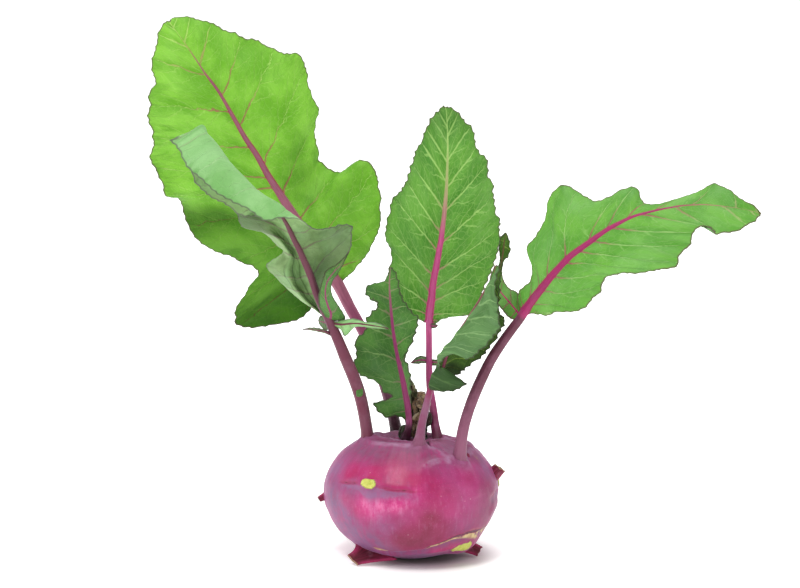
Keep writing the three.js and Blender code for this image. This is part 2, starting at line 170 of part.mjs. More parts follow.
// Stubs of older leaves, cut short. Each has a wide clasping foot and a narrower cut end:
// centre and half-width vector of both, then the half thickness at the foot and at the cut.
const STUBS = {
  leaf_stub_left: { foot: [-37.6, -4, 30.2], footHalf: [-0.6, 0, -3.9], tip: [-43.0, -4.2, 27.2], tipHalf: [0.9, 0, -1.1], thick: [2.2, 1.6] },
  leaf_stub_right: { foot: [36.6, -3.6, 36.8], footHalf: [1.4, 0, -5.2], tip: [41.9, -4, 42.4], tipHalf: [2.6, 0, -1.7], thick: [2.6, 1.9] },
  leaf_stub_low_left: { foot: [-16.6, -19.6, 5.9], footHalf: [9.2, -2.7, -3.2], tip: [-27.0, -22.7, 2.9], tipHalf: [2.5, -1.7, -2.1], thick: [1.9, 1.5] },
  leaf_stub_low_right: { foot: [25.2, -9, 6.6], footHalf: [0.9, 1, 3.4], tip: [32.3, -7.4, 2.9], tipHalf: [1.4, 0.4, 2.2], thick: [2.4, 1.9] },
  leaf_stub_rear_left: { foot: [-19.6, 30.6, 21], footHalf: [4.4, 2.8, -1.6], tip: [-23.4, 38.2, 22.6], tipHalf: [2.5, 1.5, -0.7], thick: [2.5, 1.8] },
  leaf_stub_rear_right: { foot: [20.8, 26.4, 14.5], footHalf: [-4.6, 3.6, 0.6], tip: [26.0, 33.4, 11.2], tipHalf: [-2.6, 1.9, 0.4], thick: [2.6, 1.8] },
  leaf_stub_rear_high: { foot: [4, 34.4, 38.2], footHalf: [5.0, -0.6, 0.8], tip: [4.8, 41.0, 43.2], tipHalf: [2.8, -0.3, 0.4], thick: [2.4, 1.7] },
};

// Young leaves in the heart of the crown, and two small buds: points and radii.
const SHOOTS = {
  heart_leaf_curled: { path: [[1.6, 8.5, 56.6, 1.5], [2.6, 8.2, 62, 1.3], [5.2, 7.6, 67, 1.4], [6.2, 7, 71.5, 1.6], [4.2, 6.6, 75.6, 1.3], [2.6, 6.2, 76.6, 0.6]], flat: 0.75 },
  heart_leaf_upright: { path: [[-1.2, 11.5, 56.8, 1.5], [0.2, 11.4, 62, 1.3], [2.0, 11.2, 70, 1.3], [1.6, 11.0, 76, 1.2], [-0.6, 10.8, 80, 0.6]], flat: 0.6 },
  heart_leaf_small: { path: [[6.4, 9.4, 56.2, 1.4], [7.4, 9.6, 60.5, 1.1], [8.4, 9.6, 64, 1.4], [8.6, 9.4, 66.8, 0.5]], flat: 0.7 },
};
const KNOBS = {
  bud_knob: { centre: [26.4, -15.2, 50.0], radius: 1.5, along: [0.62, -0.38, 0.68] },
};

const wasm = await Module();
wasm.setup();

// ---- solids ----
function toManifold(geometry) {
  const g = geometry.clone();
  for (const name of Object.keys(g.attributes)) if (name !== 'position') g.deleteAttribute(name);
  const m = mergeVertices(g, 1e-4);
  return new wasm.Manifold(new wasm.Mesh({
    numProp: 3,
    vertProperties: new Float32Array(m.attributes.position.array),
    triVerts: new Uint32Array(m.index.array),
  }));
}

function toGeometry(manifold) {
  const mesh = manifold.getMesh();
  const g = new THREE.BufferGeometry();
  const p = new Float32Array(mesh.numVert * 3);
  for (let i = 0; i < mesh.numVert; i++) {
    for (let k = 0; k < 3; k++) p[3 * i + k] = mesh.vertProperties[mesh.numProp * i + k];
  }
  g.setAttribute('position', new THREE.BufferAttribute(p, 3));
  g.setIndex(new THREE.BufferAttribute(new Uint32Array(mesh.triVerts), 1));
  g.computeVertexNormals();
  return g;
}

// The largest connected body of a cut result.
function mainBody(manifold) {
  const parts = manifold.decompose();
  return parts.reduce((a, b) => (b.volume() > a.volume() ? b : a));
}

// Value of a uniform Catmull-Rom spline through numeric vectors.
function spline(points, a) {
  const n = points.length;
  const i = Math.min(Math.floor(a), n - 2);
  const f = a - i;
  const p1 = points[i];
  const p2 = points[i + 1];
  const p0 = i > 0 ? points[i - 1] : p1.map((v, k) => 2 * v - p2[k]);
  const p3 = i < n - 2 ? points[i + 2] : p2.map((v, k) => 2 * v - p1[k]);
  return p1.map((v, k) => 0.5 * (2 * v + (p2[k] - p0[k]) * f
    + (2 * p0[k] - 5 * v + 4 * p2[k] - p3[k]) * f * f
    + (3 * v - p0[k] - 3 * p2[k] + p3[k]) * f * f * f));
}

// Bulb: the turned profile, very slightly three-sided as a grown stem is.
function bulbGeometry(grow = 0) {
  const pts = BULB_PROFILE.map(([r, z]) => new THREE.Vector2(r, z));
  const g = new THREE.LatheGeometry(pts, BULB_SIDES);
  g.rotateX(Math.PI / 2);
  const p = g.attributes.position;
  for (let i = 0; i < p.count; i++) {
    const x = p.getX(i);
    const y = p.getY(i);
    const z = p.getZ(i);
    const r = Math.hypot(x, y);
    const a = Math.atan2(y, x);
    const lift = THREE.MathUtils.smoothstep(z, 0, 16);
    const k = 1 + lift * 0.008 * Math.cos(3 * a + 0.6) + (r > 0.01 ? grow / Math.max(r, 8) : 0);
    let nz = z;
    if (grow) nz = z < 0.01 ? -grow : z + grow * THREE.MathUtils.smoothstep(z, 20, 57);
    p.setXYZ(i, x * k, y * k, nz);
  }
  return g;
}

// A round stalk along a smooth centre line, thick at the foot.
function stalkGeometry(points, grow = 0, flat = 1, sides = STALK_SIDES, steps = 3) {
  const rings = [];
  const n = (points.length - 1) * steps;
  for (let i = 0; i <= n; i++) rings.push(spline(points, (i / n) * (points.length - 1)));
  const position = [];
  const index = [];
  let side = new THREE.Vector3(1, 0, 0);
  rings.forEach((q, i) => {
    const a = rings[Math.max(i - 1, 0)];
    const b = rings[Math.min(i + 1, n)];
    const t = new THREE.Vector3(b[0] - a[0], b[1] - a[1], b[2] - a[2]).normalize();
    side = side.clone().addScaledVector(t, -side.dot(t)).normalize();
    const up = new THREE.Vector3().crossVectors(t, side);
    for (let j = 0; j < sides; j++) {
      const w = (2 * Math.PI * j) / sides;
      const r = q[3] + grow;
      const c = side.clone().multiplyScalar(r * Math.cos(w)).addScaledVector(up, r * flat * Math.sin(w));
      position.push(q[0] + c.x, q[1] + c.y, q[2] + c.z);
    }
  });
  for (let i = 0; i < n; i++) {
    for (let j = 0; j < sides; j++) {
      const k = (j + 1) % sides;
      const [a, b, c, d] = [i * sides + j, i * sides + k, (i + 1) * sides + k, (i + 1) * sides + j];
      index.push(a, b, c, a, c, d);
    }
  }
  const first = position.length / 3;
  position.push(rings[0][0], rings[0][1], rings[0][2], rings[n][0], rings[n][1], rings[n][2]);
  for (let j = 0; j < sides; j++) {
    const k = (j + 1) % sides;
    index.push(first, k, j, first + 1, n * sides + j, n * sides + k);
  }
  const g = new THREE.BufferGeometry();
  g.setAttribute('position', new THREE.Float32BufferAttribute(position, 3));
  g.setIndex(index);
  return g;
}

// A blade: a shell of even thickness over its net, with the midrib standing out below.
function bladeGeometry(blade, perStation, perSide, under = 1) {
  const stations = blade.rows;
  const n = Math.max(2, Math.round((stations.length - 1) * perStation));
  const m = 2 * perSide;
  const grid = [];
  for (let i = 0; i <= n; i++) {
    const flatRow = spline(stations, (i / n) * (stations.length - 1));
    const at = (k) => flatRow.slice(3 * k, 3 * k + 3);
    const left = [at(0)];
    for (let k = 0; k < blade.left; k++) left.push(at(1 + k));
    const right = [at(0)];
    for (let k = 0; k < blade.right; k++) right.push(at(1 + blade.left + k));
    const row = [];
    for (let j = perSide; j > 0; j--) row.push(spline(left, (j / perSide) * blade.left));
    row.push(left[0]);
    for (let j = 1; j <= perSide; j++) row.push(spline(right, (j / perSide) * blade.right));
    grid.push(row.map((q) => new THREE.Vector3(...q)));
  }
  const position = [];
  const lower = [];
  for (let i = 0; i <= n; i++) {
    for (let j = 0; j <= m; j++) {
      const s = grid[Math.min(i + 1, n)][j].clone().sub(grid[Math.max(i - 1, 0)][j]);
      const t = grid[i][Math.min(j + 1, m)].clone().sub(grid[i][Math.max(j - 1, 0)]);
      const normal = new THREE.Vector3().crossVectors(s, t);
      if (normal.lengthSq() < 1e-8) normal.set(0, 1, 0);
      normal.normalize().multiplyScalar(under);
      const q = grid[i][j];
      const top = q.clone().addScaledVector(normal, -BLADE_THICKNESS / 2);
      const rib = j === perSide ? MIDRIB_HEIGHT * (1 - i / n) : 0;
      const bottom = q.clone().addScaledVector(normal, BLADE_THICKNESS / 2 + rib);
      position.push(top.x, top.y, top.z);
      lower.push(bottom.x, bottom.y, bottom.z);
    }
  }
  const count = position.length / 3;
  position.push(...lower);
  const index = [];
  const quad = (a, b, c, d) => (under > 0 ? index.push(a, b, c, a, c, d) : index.push(a, c, b, a, d, c));
  const id = (i, j) => i * (m + 1) + j;
  for (let i = 0; i < n; i++) {
    for (let j = 0; j < m; j++) {
      quad(id(i, j), id(i, j + 1), id(i + 1, j + 1), id(i + 1, j));
      quad(count + id(i, j), count + id(i + 1, j), count + id(i + 1, j + 1), count + id(i, j + 1));
    }
    quad(id(i, 0), id(i + 1, 0), count + id(i + 1, 0), count + id(i, 0));
    quad(id(i, m), count + id(i, m), count + id(i + 1, m), id(i + 1, m));
  }
  for (let j = 0; j < m; j++) {
    quad(id(0, j), count + id(0, j), count + id(0, j + 1), id(0, j + 1));
    quad(id(n, j), id(n, j + 1), count + id(n, j + 1), count + id(n, j));
  }
  const g = new THREE.BufferGeometry();
  g.setAttribute('position', new THREE.Float32BufferAttribute(position, 3));
  g.setIndex(index);
  return g;
}

// A cut stub: a short flattened stem, wide at the foot, channelled on its upper side, with a dished cut end.
const STUB_SIDES = 14;
const STUB_STEPS = 6;
function stubGeometry({ foot, footHalf, tip, tipHalf, thick }) {
  const a = new THREE.Vector3(...foot);
  const b = new THREE.Vector3(...tip);
  const along = b.clone().sub(a);
  const axis = along.clone().normalize();
  const position = [];
  const index = [];
  let side = new THREE.Vector3(...footHalf).cross(axis);
  const turn = side.z < 0;
  if (turn) side.negate();
  const ring = (u, scale, sink) => {
    const ease = (1 - u) ** 1.6;
    const half = new THREE.Vector3(...tipHalf).lerp(new THREE.Vector3(...footHalf), ease);
    const t = thick[1] + (thick[0] - thick[1]) * ease;
    const normal = half.clone().cross(axis).normalize();
    if (normal.dot(side) < 0) normal.negate();
    side = normal;
    const c = a.clone().addScaledVector(along, u).addScaledVector(axis, -sink);
    for (let k = 0; k < STUB_SIDES; k += 1) {
      const th = (k / STUB_SIDES) * Math.PI * 2;
      const s = Math.sin(th);
      const y = s * t * (s > 0 ? 1 - 0.5 * s * s : 1);
      const p = c.clone().addScaledVector(half, Math.cos(th) * scale).addScaledVector(normal, y * scale);
      position.push(p.x, p.y, Math.max(p.z, 0));
    }
  };
  for (let i = 0; i <= STUB_STEPS; i += 1) ring(i / STUB_STEPS, 1, 0);
  ring(1, 0.62, 0.35);
  const rings = STUB_STEPS + 2;
  const at = (i, k) => i * STUB_SIDES + (k % STUB_SIDES);
  const first = position.length / 3;
  position.push(a.x, a.y, a.z);
  const e = b.clone().addScaledVector(axis, -0.4);
  position.push(e.x, e.y, Math.max(e.z, 0));
  const face = (x, y, z) => { if (turn) index.push(x, y, z); else index.push(x, z, y); };
  for (let k = 0; k < STUB_SIDES; k += 1) {
    for (let i = 0; i < rings - 1; i += 1) {
      face(at(i, k), at(i, k + 1), at(i + 1, k));
      face(at(i, k + 1), at(i + 1, k + 1), at(i + 1, k));
    }
    face(first, at(0, k + 1), at(0, k));
    face(first + 1, at(rings - 1, k), at(rings - 1, k + 1));
  }
  const g = new THREE.BufferGeometry();
  g.setAttribute('position', new THREE.Float32BufferAttribute(position, 3));
  g.setIndex(index);
  return g;
}

// ---- assembly ----
const part = new THREE.Group();
part.name = 'kohlrabi';
const SKIN = { color: 0xa8386c, roughness: 0.5, metalness: 0 };
const STALK = { color: 0x8c4a72, roughness: 0.5, metalness: 0 };
const LEAF = { color: 0x63a544, roughness: 0.6, metalness: 0 };
const STUB = { color: 0x6a1c38, roughness: 0.7, metalness: 0 };
const HEART = { color: 0x6c6a3c, roughness: 0.8, metalness: 0 };

function add(name, manifold, look) {
  const mesh = new THREE.Mesh(toGeometry(mainBody(manifold)), new THREE.MeshStandardMaterial(look));
  mesh.name = name;
  part.add(mesh);
}

const bulb = toManifold(bulbGeometry());
const bulbClear = toManifold(bulbGeometry(GAP));
add('bulb', bulb, SKIN);

const stalks = {};
const stalksClear = {};
for (const [name, line] of Object.entries(PETIOLES)) {
  const grown = 2;
  stalks[name] = toManifold(stalkGeometry(line, 0, 1, STALK_SIDES, grown)).subtract(bulbClear);
  stalksClear[name] = toManifold(stalkGeometry(line, GAP + 0.05, 1, STALK_SIDES, grown));
}
const taken = [];
for (const [name, solid] of Object.entries(stalks)) {
  let cut = solid;
  for (const other of taken) cut = cut.subtract(stalksClear[other]);
  taken.push(name);
  stalks[name] = mainBody(cut);
  add(name, stalks[name], STALK);
}

const UNDER = { blade_front_left: -1 };
const placed = [];
for (const [name, blade] of Object.entries(BLADES)) {
  const small = name.startsWith('leaflet');
  const rows = blade.rows.length;
  const g = bladeGeometry(blade, small ? 1 : Math.min(1.1, 23 / rows), small ? 2 : 4, UNDER[name] ?? 1);
  let solid = toManifold(g);
  for (const clear of Object.values(stalksClear)) solid = solid.subtract(clear);
  solid = solid.subtract(bulbClear);
  solid = mainBody(solid);
  for (const other of placed) solid = solid.subtract(other);
  solid = mainBody(solid);
  placed.push(solid);
  add(name, solid, LEAF);
}

for (const [name, stub] of Object.entries(STUBS)) {
  add(name, toManifold(stubGeometry(stub)).subtract(bulbClear), STUB);
}

const shootsDone = [];
for (const [name, shoot] of Object.entries(SHOOTS)) {
  let solid = toManifold(stalkGeometry(shoot.path, 0, shoot.flat, 8, 2)).subtract(bulbClear);
  for (const clear of Object.values(stalksClear)) solid = solid.subtract(clear);
  for (const other of shootsDone) solid = solid.subtract(other);
  solid = mainBody(solid);
  shootsDone.push(toManifold(stalkGeometry(shoot.path, GAP, shoot.flat, 8, 2)));
  add(name, solid, HEART);
}

for (const [name, knob] of Object.entries(KNOBS)) {
  const g = new THREE.SphereGeometry(knob.radius, 12, 8);
  g.scale(1, 1, 0.9);
  g.translate(...knob.centre);
  let solid = toManifold(g).subtract(bulbClear);
  for (const clear of Object.values(stalksClear)) solid = solid.subtract(clear);
  add(name, solid, STUB);
}

export default part;
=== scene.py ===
# Purple kohlrabi with its leaves. Lengths in the tables are millimetres, in the part's own frame;
# every object is made in metres in that same frame.
import math
import bpy
import numpy as np
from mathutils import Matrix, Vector


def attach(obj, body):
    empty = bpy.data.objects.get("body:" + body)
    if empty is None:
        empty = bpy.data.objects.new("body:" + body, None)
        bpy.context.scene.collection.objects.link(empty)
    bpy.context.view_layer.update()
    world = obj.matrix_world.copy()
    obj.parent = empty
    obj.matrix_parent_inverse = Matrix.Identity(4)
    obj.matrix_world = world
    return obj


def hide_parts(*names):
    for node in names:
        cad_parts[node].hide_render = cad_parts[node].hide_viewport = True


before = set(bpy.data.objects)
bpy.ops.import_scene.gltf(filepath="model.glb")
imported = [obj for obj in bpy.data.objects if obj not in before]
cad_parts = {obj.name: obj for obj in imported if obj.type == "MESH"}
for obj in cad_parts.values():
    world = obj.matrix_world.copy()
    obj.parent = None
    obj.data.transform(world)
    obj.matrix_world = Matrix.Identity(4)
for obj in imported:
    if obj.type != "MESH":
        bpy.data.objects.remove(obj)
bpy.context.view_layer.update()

MM = 0.001

# ---------------------------------------------------------------- design data
BLADES = {
  "blade_back_left": dict(petiole="petiole_back_left", left=2, right=2, rows=[
    [-35.8,38.1,124.5,-36.3,38.1,124.8,-36.7,38.2,125,-35.3,38,124.1,-34.8,37.9,123.6], [-36.7,38.4,125.9,-40.1,36.4,121.9,-43.4,34.4,117.8,-33.6,37.5,126.3,-30.5,38.6,126.4],
    [-38.2,38.9,127.8,-47.5,33.9,117.4,-56.8,30.8,106.8,-31.6,37.7,130.9,-25.2,40.4,133.4], [-40.1,39.6,130.6,-57.1,33.9,117.3,-74,30.1,103.7,-29.7,37.4,135.8,-19.4,41.2,140.1],
    [-42.5,40.6,134.4,-63.7,35.1,120.2,-84.9,31.6,105.7,-28.7,38.2,142.5,-15.1,41.8,149.8], [-45.4,41.9,139,-63.4,38.8,126.9,-81.6,37.7,114.4,-29.7,39.6,150.8,-14.1,43.3,161.7],
    [-48.3,43.1,143.3,-60.6,42.1,135.8,-73.2,45.2,127.8,-32.9,43.5,159.7,-17.5,47.9,175.6], [-51.3,44.4,147.9,-67.5,44.5,140.7,-84,48.6,132.9,-37.5,46.7,164.9,-23.8,50.9,181.6],
    [-54.7,45.9,153.1,-76.7,46.9,147.6,-99.1,51.9,141.5,-43.5,52.9,163.6,-32.1,55.9,174.7], [-58.5,47.6,158.7,-83.9,48.3,157.4,-109.7,52.9,155.5,-50.2,58.2,168.8,-41.5,62.8,179.8],
    [-63.4,49.8,165.7,-88.7,41.9,165.4,-114.6,44,163.8,-55.1,57,177.7,-46.6,64.2,189.9], [-68.8,52.4,173.7,-94.2,42.5,175.1,-120.1,42.5,175.3,-57.5,55.9,189.3,-46.3,65.4,204.4],
    [-74.2,55.6,183,-98.9,46,183.8,-124.1,46.4,183.6,-62.1,58.8,202.6,-50.3,70.1,221.5], [-80.1,58.5,191.4,-101.7,51.7,194.1,-123.9,52.9,195.9,-67.7,61.3,211.6,-55.7,72,231.1],
    [-86.3,62.3,201.8,-105.9,56.4,203.8,-126.2,58.4,205.1,-76.6,63.8,218.3,-67.4,73.3,234.2], [-93,66.6,212.8,-109.1,60.8,213.9,-125.7,63,214.3,-86.6,67.6,225.4,-80.6,74.7,237.5],
    [-100,70.2,221.8,-112.4,67.2,224.6,-125.3,70.2,226.9,-95.9,71.9,232,-92,77.7,242], [-106.5,74,231,-115.1,72.9,233.3,-124,75.8,235.3,-104,76.8,238.7,-101.5,81.6,246.3],
    [-112.1,77.2,238.6,-116.6,77.7,240.9,-121.3,80.2,243,-110.7,79.3,243.4,-109.5,83.5,248.2], [-116.6,79.7,244.3,-118,80.5,244.9,-119.4,81.3,245.6,-115.5,81.5,246,-114.4,83.3,247.7],
    [-117.9,80.6,246.4,-118.2,81.1,246.4,-118.5,81.6,246.3,-117.6,81.2,246.6,-117.2,81.8,246.8],
  ]),
  "blade_front_left": dict(petiole="petiole_front_left", left=3, right=2, rows=[
    [-37.6,-17.2,115.3,-37.8,-17.2,115.3,-38,-17.2,115.3,-38.1,-17.2,115.3,-37.4,-17.2,115.3,-37.2,-17.2,115.3], [-39,-18.6,118.8,-40.4,-16.6,118,-41.8,-17.6,118.6,-42.9,-16.7,119.4,-38.1,-15.8,119.7,-37.3,-13.9,120.3],
    [-41.2,-20.2,123.7,-44.6,-16.1,122.1,-47.2,-19.2,123.6,-50.8,-14.4,124.1,-39.5,-15.5,125.3,-38.6,-12.9,127.6], [-43,-21.8,128.7,-48.2,-16.8,127.3,-51.7,-20.8,128.5,-57.1,-13.1,129.1,-41.2,-17.4,132.1,-39,-13.8,135.3],
    [-44.7,-23.5,134.5,-50.9,-17.4,132.1,-55.2,-22.5,133.9,-61.8,-12.7,133.7,-39.8,-19.1,137.9,-35.3,-14.3,139.3], [-46.4,-25.1,139.4,-52.6,-19,137.5,-56.9,-24.3,140.2,-66.4,-13.5,140.1,-38.8,-20.7,142.8,-32.1,-15.7,142.1],
    [-48.2,-26.7,143.8,-52.5,-21.7,143.5,-55,-26,145.9,-58.6,-17.2,146.5,-37.8,-23.2,147.4,-28.8,-17.3,146.9], [-49.7,-28.2,147.7,-54.2,-23.3,147.8,-56.7,-27.5,150.3,-60.6,-21.6,150.4,-37.7,-25.6,150.9,-27.4,-19.8,151.5],
    [-51.2,-29.6,151.5,-56.4,-24.8,152.2,-60.7,-29.1,155.1,-67.8,-23.4,156.6,-38.5,-28.1,154.5,-27.1,-22.4,156], [-52.7,-31.1,154.9,-59,-26.4,156.6,-65.5,-30.7,159.9,-77.2,-24.9,160.2,-40.2,-32.2,156.5,-27.3,-22.8,159.7],
    [-54,-32.5,158.3,-60.2,-28.9,161,-67.2,-32.3,164.7,-78.1,-27.8,167.7,-44.2,-34.4,158.2,-34.9,-28.8,160.1], [-55.2,-33.8,161.3,-59.6,-31.1,162.7,-63.6,-33.3,164.4,-70.5,-29.5,165.7,-48.6,-36.7,160.8,-43.2,-36.8,161.2],
    [-56.5,-35.2,164.2,-60,-32.4,165.2,-62.6,-33.4,165.8,-65.4,-32.4,165.2,-51.6,-40.3,165.3,-49.6,-45.2,165.8], [-58,-35.5,166.7,-60.8,-33.2,167.3,-63.6,-32.8,166.7,-66.3,-32.3,165.2,-55,-42.7,169,-57.4,-49.3,166.7],
    [-60.3,-35.4,169.5,-63.1,-33.6,169.7,-65.8,-33.5,168.2,-69.4,-33.3,165.7,-58.9,-45,171.8,-64.4,-52.1,166.1], [-64.3,-35.1,172.5,-67.6,-33.2,171.8,-69.9,-32.1,169,-74.5,-32,165.8,-65.4,-47.5,176,-72.6,-54.8,171.1],
    [-68.7,-36.8,176.6,-71.9,-34.7,175.4,-75.1,-34.3,172.2,-80.2,-33.9,169,-71,-50.2,181,-79,-57.3,175.2], [-73.4,-39.4,181.5,-76.7,-37.2,179.8,-80.3,-36.8,176.2,-85.4,-36.3,172.5,-76.2,-51.8,185.9,-84.6,-58.8,178.9],
    [-78.2,-41.1,186.6,-81.4,-39.8,184.7,-85.5,-39.3,180.5,-91.2,-38.8,177.1,-80.8,-53.6,191.8,-89.7,-60.3,183.3], [-82.9,-42.8,192.2,-86.1,-41.5,189.8,-90.2,-41,185.7,-96.1,-40.4,181.6,-85,-55.4,197.8,-94.3,-62,188.2],
    [-87.5,-45.4,196.9,-90.3,-44.1,194.6,-93.5,-43.6,190.5,-98.5,-43.1,186.8,-88,-56.9,202.2,-98.6,-62.7,193.5], [-92.2,-47.9,200.8,-94.1,-46.6,198.4,-96.4,-46.1,194.8,-100,-45.7,191.6,-90.2,-58.5,206,-101.1,-63.3,198.4],
    [-95.5,-50.1,202.8,-97,-48.9,200.9,-98.4,-48.5,198.2,-101.1,-48.2,195.4,-92,-59.9,209.3,-102.7,-63.7,201.1], [-99.2,-54,203.6,-100.1,-53.5,202.6,-101.1,-52.8,200.9,-102.8,-53.2,199.3,-96.5,-61.5,207,-104.2,-63.9,202.4],
    [-103,-59.9,204,-103.5,-60,203.5,-103.9,-60,203,-104.5,-60.5,202.5,-101.5,-62.2,204.7,-105.4,-64,203.3],
  ]),
  "blade_centre_left": dict(petiole="petiole_centre_left", left=2, right=2, rows=[
    [-0.6,3.7,63.2,-0.9,3.7,63.2,-1.2,3.7,63.2,-0.3,3.7,63.2,-0,3.7,63.2], [-0.9,3.9,66.1,-3.4,3.1,66,-5.9,2.8,65.8,-0.3,4,67.2,0.4,4,68.4],
    [-1.4,4.2,69.8,-6.7,2.4,68.4,-12,1.9,66.7,-0.5,4.3,71.3,0.4,4.4,72.7], [-2,4.4,73.6,-9.6,2.2,72.9,-17.2,1.3,71.9,-0.9,4.6,75.3,0.2,4.7,77],
    [-2.5,4.6,76,-5.7,3.7,75.3,-9,3.5,74.6,-1.4,4.8,77.9,-0.3,4.9,79.8], [-3,4.8,78.8,-8,3.7,79.4,-13,3.9,79.8,-1.7,5,81,-0.5,5.1,83.1],
    [-3.8,5.1,83.1,-14.8,1.8,85.6,-25.8,1.4,87.4,-2.7,5.4,86.2,-1.7,5.6,89.3], [-5,5.5,88.3,-15.2,1.7,91.9,-25.4,1.9,94.7,-3.6,5.2,91,-2.2,4.9,93.7],
    [-6,5.9,93,-15.7,2.2,97.6,-25.4,2.4,101.3,-3.2,4.5,95.7,-0.4,4.2,98.1], [-7,6.3,98.2,-14.2,4.1,102.7,-21.4,4.8,106.6,-2.8,4.3,100.7,1.4,3.6,103],
    [-7.8,6.6,103.4,-13.7,5.4,107.6,-19.5,6.2,111.4,-2.6,4.7,105.7,2.5,3.9,107.7], [-8.4,7,107.7,-12.8,6.6,111.3,-17.2,7.5,114.7,-2.6,5,110.2,3.1,4.3,112.4],
    [-8.8,7.3,111.9,-11.7,7.5,115,-14.6,8.7,117.9,-4.1,5.9,113.3,0.7,5.4,114.6], [-9.1,7.5,115.7,-14.1,8.8,118.6,-19.1,12,121.1,-5.5,6.4,117.3,-1.9,5.8,118.8],
    [-9.5,7.9,120.4,-15.2,9.6,122.4,-21,14.2,123.8,-6.5,7.2,121.7,-3.6,7.1,122.9], [-9.8,8.2,124.6,-14,10.3,125.7,-18.2,14.4,126.4,-7.4,7.6,125.7,-5,7.4,126.7],
    [-9.9,8.5,128.4,-11.2,10,128.5,-12.5,12.5,128.4,-7.9,8.3,129.3,-5.9,8.1,130.3], [-9.7,8.8,132.1,-10.3,9.3,132.5,-10.8,9.8,132.9,-8.4,8.8,132.8,-7.1,8.9,133.5],
    [-9.3,9,135.6,-9.6,9,135.7,-9.8,9,135.8,-9.1,9,135.7,-8.8,9,135.7],
  ]),
  "blade_back": dict(petiole="petiole_back", left=2, right=2, rows=[
    [8.7,25.7,106.7,7.8,25.8,106.8,7,25.8,106.9,9.5,25.7,106.6,10.3,25.7,106.5], [8.8,26,107.9,5.3,24.7,108.9,1.7,25.4,109.7,14.3,24.7,108.9,19.8,25.4,109.7],
    [9,26.4,109.5,2.7,25.6,113,-3.5,28.9,115.8,19.4,24,110.6,29.9,25.7,111.1], [9.4,27.2,113.2,1.2,27.4,119.7,-6.9,33.5,125.3,22.2,26.4,118.2,35.2,31.6,122.2],
    [10.1,28.4,117.9,0.5,30,128.7,-9.1,39.6,138.4,24.7,29.1,126,39.6,35.9,133.2], [10.8,30.1,124.4,-0.5,32.5,136.6,-11.8,42.8,147.7,26.5,30.6,134.2,42.6,39,142.9],
    [13,33.4,135.5,1.8,35.9,148.2,-9.3,46.3,159.8,27.9,34.1,145,43.1,42.8,153.5], [14.9,37,146.1,5.9,39.5,157.8,-3,50,168.6,27.6,38.7,157.2,40.6,48.4,167.3],
    [16.4,41.3,157.6,8.8,44.8,168.3,1.3,54.3,178.3,26.9,43.5,167.9,37.5,51.8,177.6], [17.4,45.8,168.6,11,49.2,178.4,4.7,58.6,187.5,24.9,47.9,177.8,32.5,56,186.4],
    [17.9,50.9,180.1,13,54.1,187.8,8.1,61.3,195.1,23.8,53.7,188.1,29.7,60.6,195.6], [18.1,56,190.7,14.8,58.7,195.9,11.5,63.4,200.9,21.4,58.5,196.6,24.7,63,202.2],
    [17.8,60.3,199.1,16.1,61.6,201.6,14.5,64,204.1,19.3,61.9,202.1,20.8,64.5,205], [17.3,64,206,17,63.9,205.9,16.7,63.9,205.8,17.6,64,206,17.9,64,206],
  ]),
  "blade_front": dict(petiole="petiole_front", left=3, right=2, rows=[
    [8.9,-20.5,83.6,8.7,-20.5,83.6,8.6,-21,83.6,8.5,-21.5,83.5,9.1,-20.1,83.7,9.3,-20.1,84], [9.8,-20.8,85.5,8.4,-24.8,86.3,11,-28.5,85.2,13.8,-28.4,83.9,11.6,-18.9,86.5,13.5,-18,86.8],
    [11.1,-21,87.9,9.2,-26,89.4,14.2,-30.7,87.1,19.7,-30.5,84.7,13.9,-19.2,89.9,17.2,-18.2,89.2], [12.5,-21.2,90.3,10.4,-26.3,92.3,16.9,-32,90.6,25.4,-30.8,87.9,16.2,-19.5,92.3,20.9,-18.2,89.5],
    [13.9,-21.5,92.7,11.7,-25.7,94.9,15.6,-30.5,94,22,-30.1,90.4,18,-19.8,94.7,23.2,-18.4,91.4], [14.8,-21.7,94.6,12.5,-24.8,96.2,13.3,-28.2,95.9,15.6,-28.4,93.4,20.3,-20,96.6,25.9,-18.6,93.1],
    [15.7,-22,97.5,12.3,-25,98.5,12.4,-29,98.6,13.3,-30.3,97.2,22.6,-20.2,98.5,30.5,-17.9,95.7], [17,-22.4,101.5,12.7,-28.3,101.3,14.6,-34.4,103.3,18.6,-35.4,103.5,25.4,-20.4,100.9,32.8,-18.2,98.1],
    [19.3,-22.8,105.6,14.6,-29.5,103.8,20,-36.5,104.9,26.3,-36.1,101.1,27.2,-20.8,104.3,34.6,-18.5,101], [22.5,-23.3,110.3,17.4,-29.8,106.7,24,-37.8,108.1,32.9,-36.5,105.1,30.4,-21.2,108.5,37.8,-19,105.8],
    [25.7,-23.9,115.5,21.2,-30.3,111.4,28.5,-38.3,113.1,37.4,-36.2,110.8,33.1,-21.8,113.8,40.5,-19.5,110.6], [28.8,-25.5,120.9,25,-30.8,116.3,32.1,-38,118.5,40.5,-35.7,115.3,35.7,-23.3,119.2,43,-20.9,115],
    [31.9,-27,126.3,28.9,-31.3,121,34.3,-37.5,123.5,39.6,-35.3,121.3,37,-24.8,124.1,41.2,-23.3,119.2], [34.6,-28.5,131.6,32,-31.8,125.7,35.7,-36,128.3,39.2,-34.8,126.2,37.8,-27.3,129.6,40.2,-25.9,125.2],
    [37.2,-30,136.5,33.6,-32.5,131.3,36.1,-35.6,133.2,38.2,-34.5,132.1,39.1,-28.8,134.4,40.3,-27.5,131.5], [39.4,-30.5,140.9,36.9,-32.2,137.7,37.5,-34.1,137.8,38.8,-34.1,137.6,40.4,-29.9,139.7,41.1,-29.2,138.2],
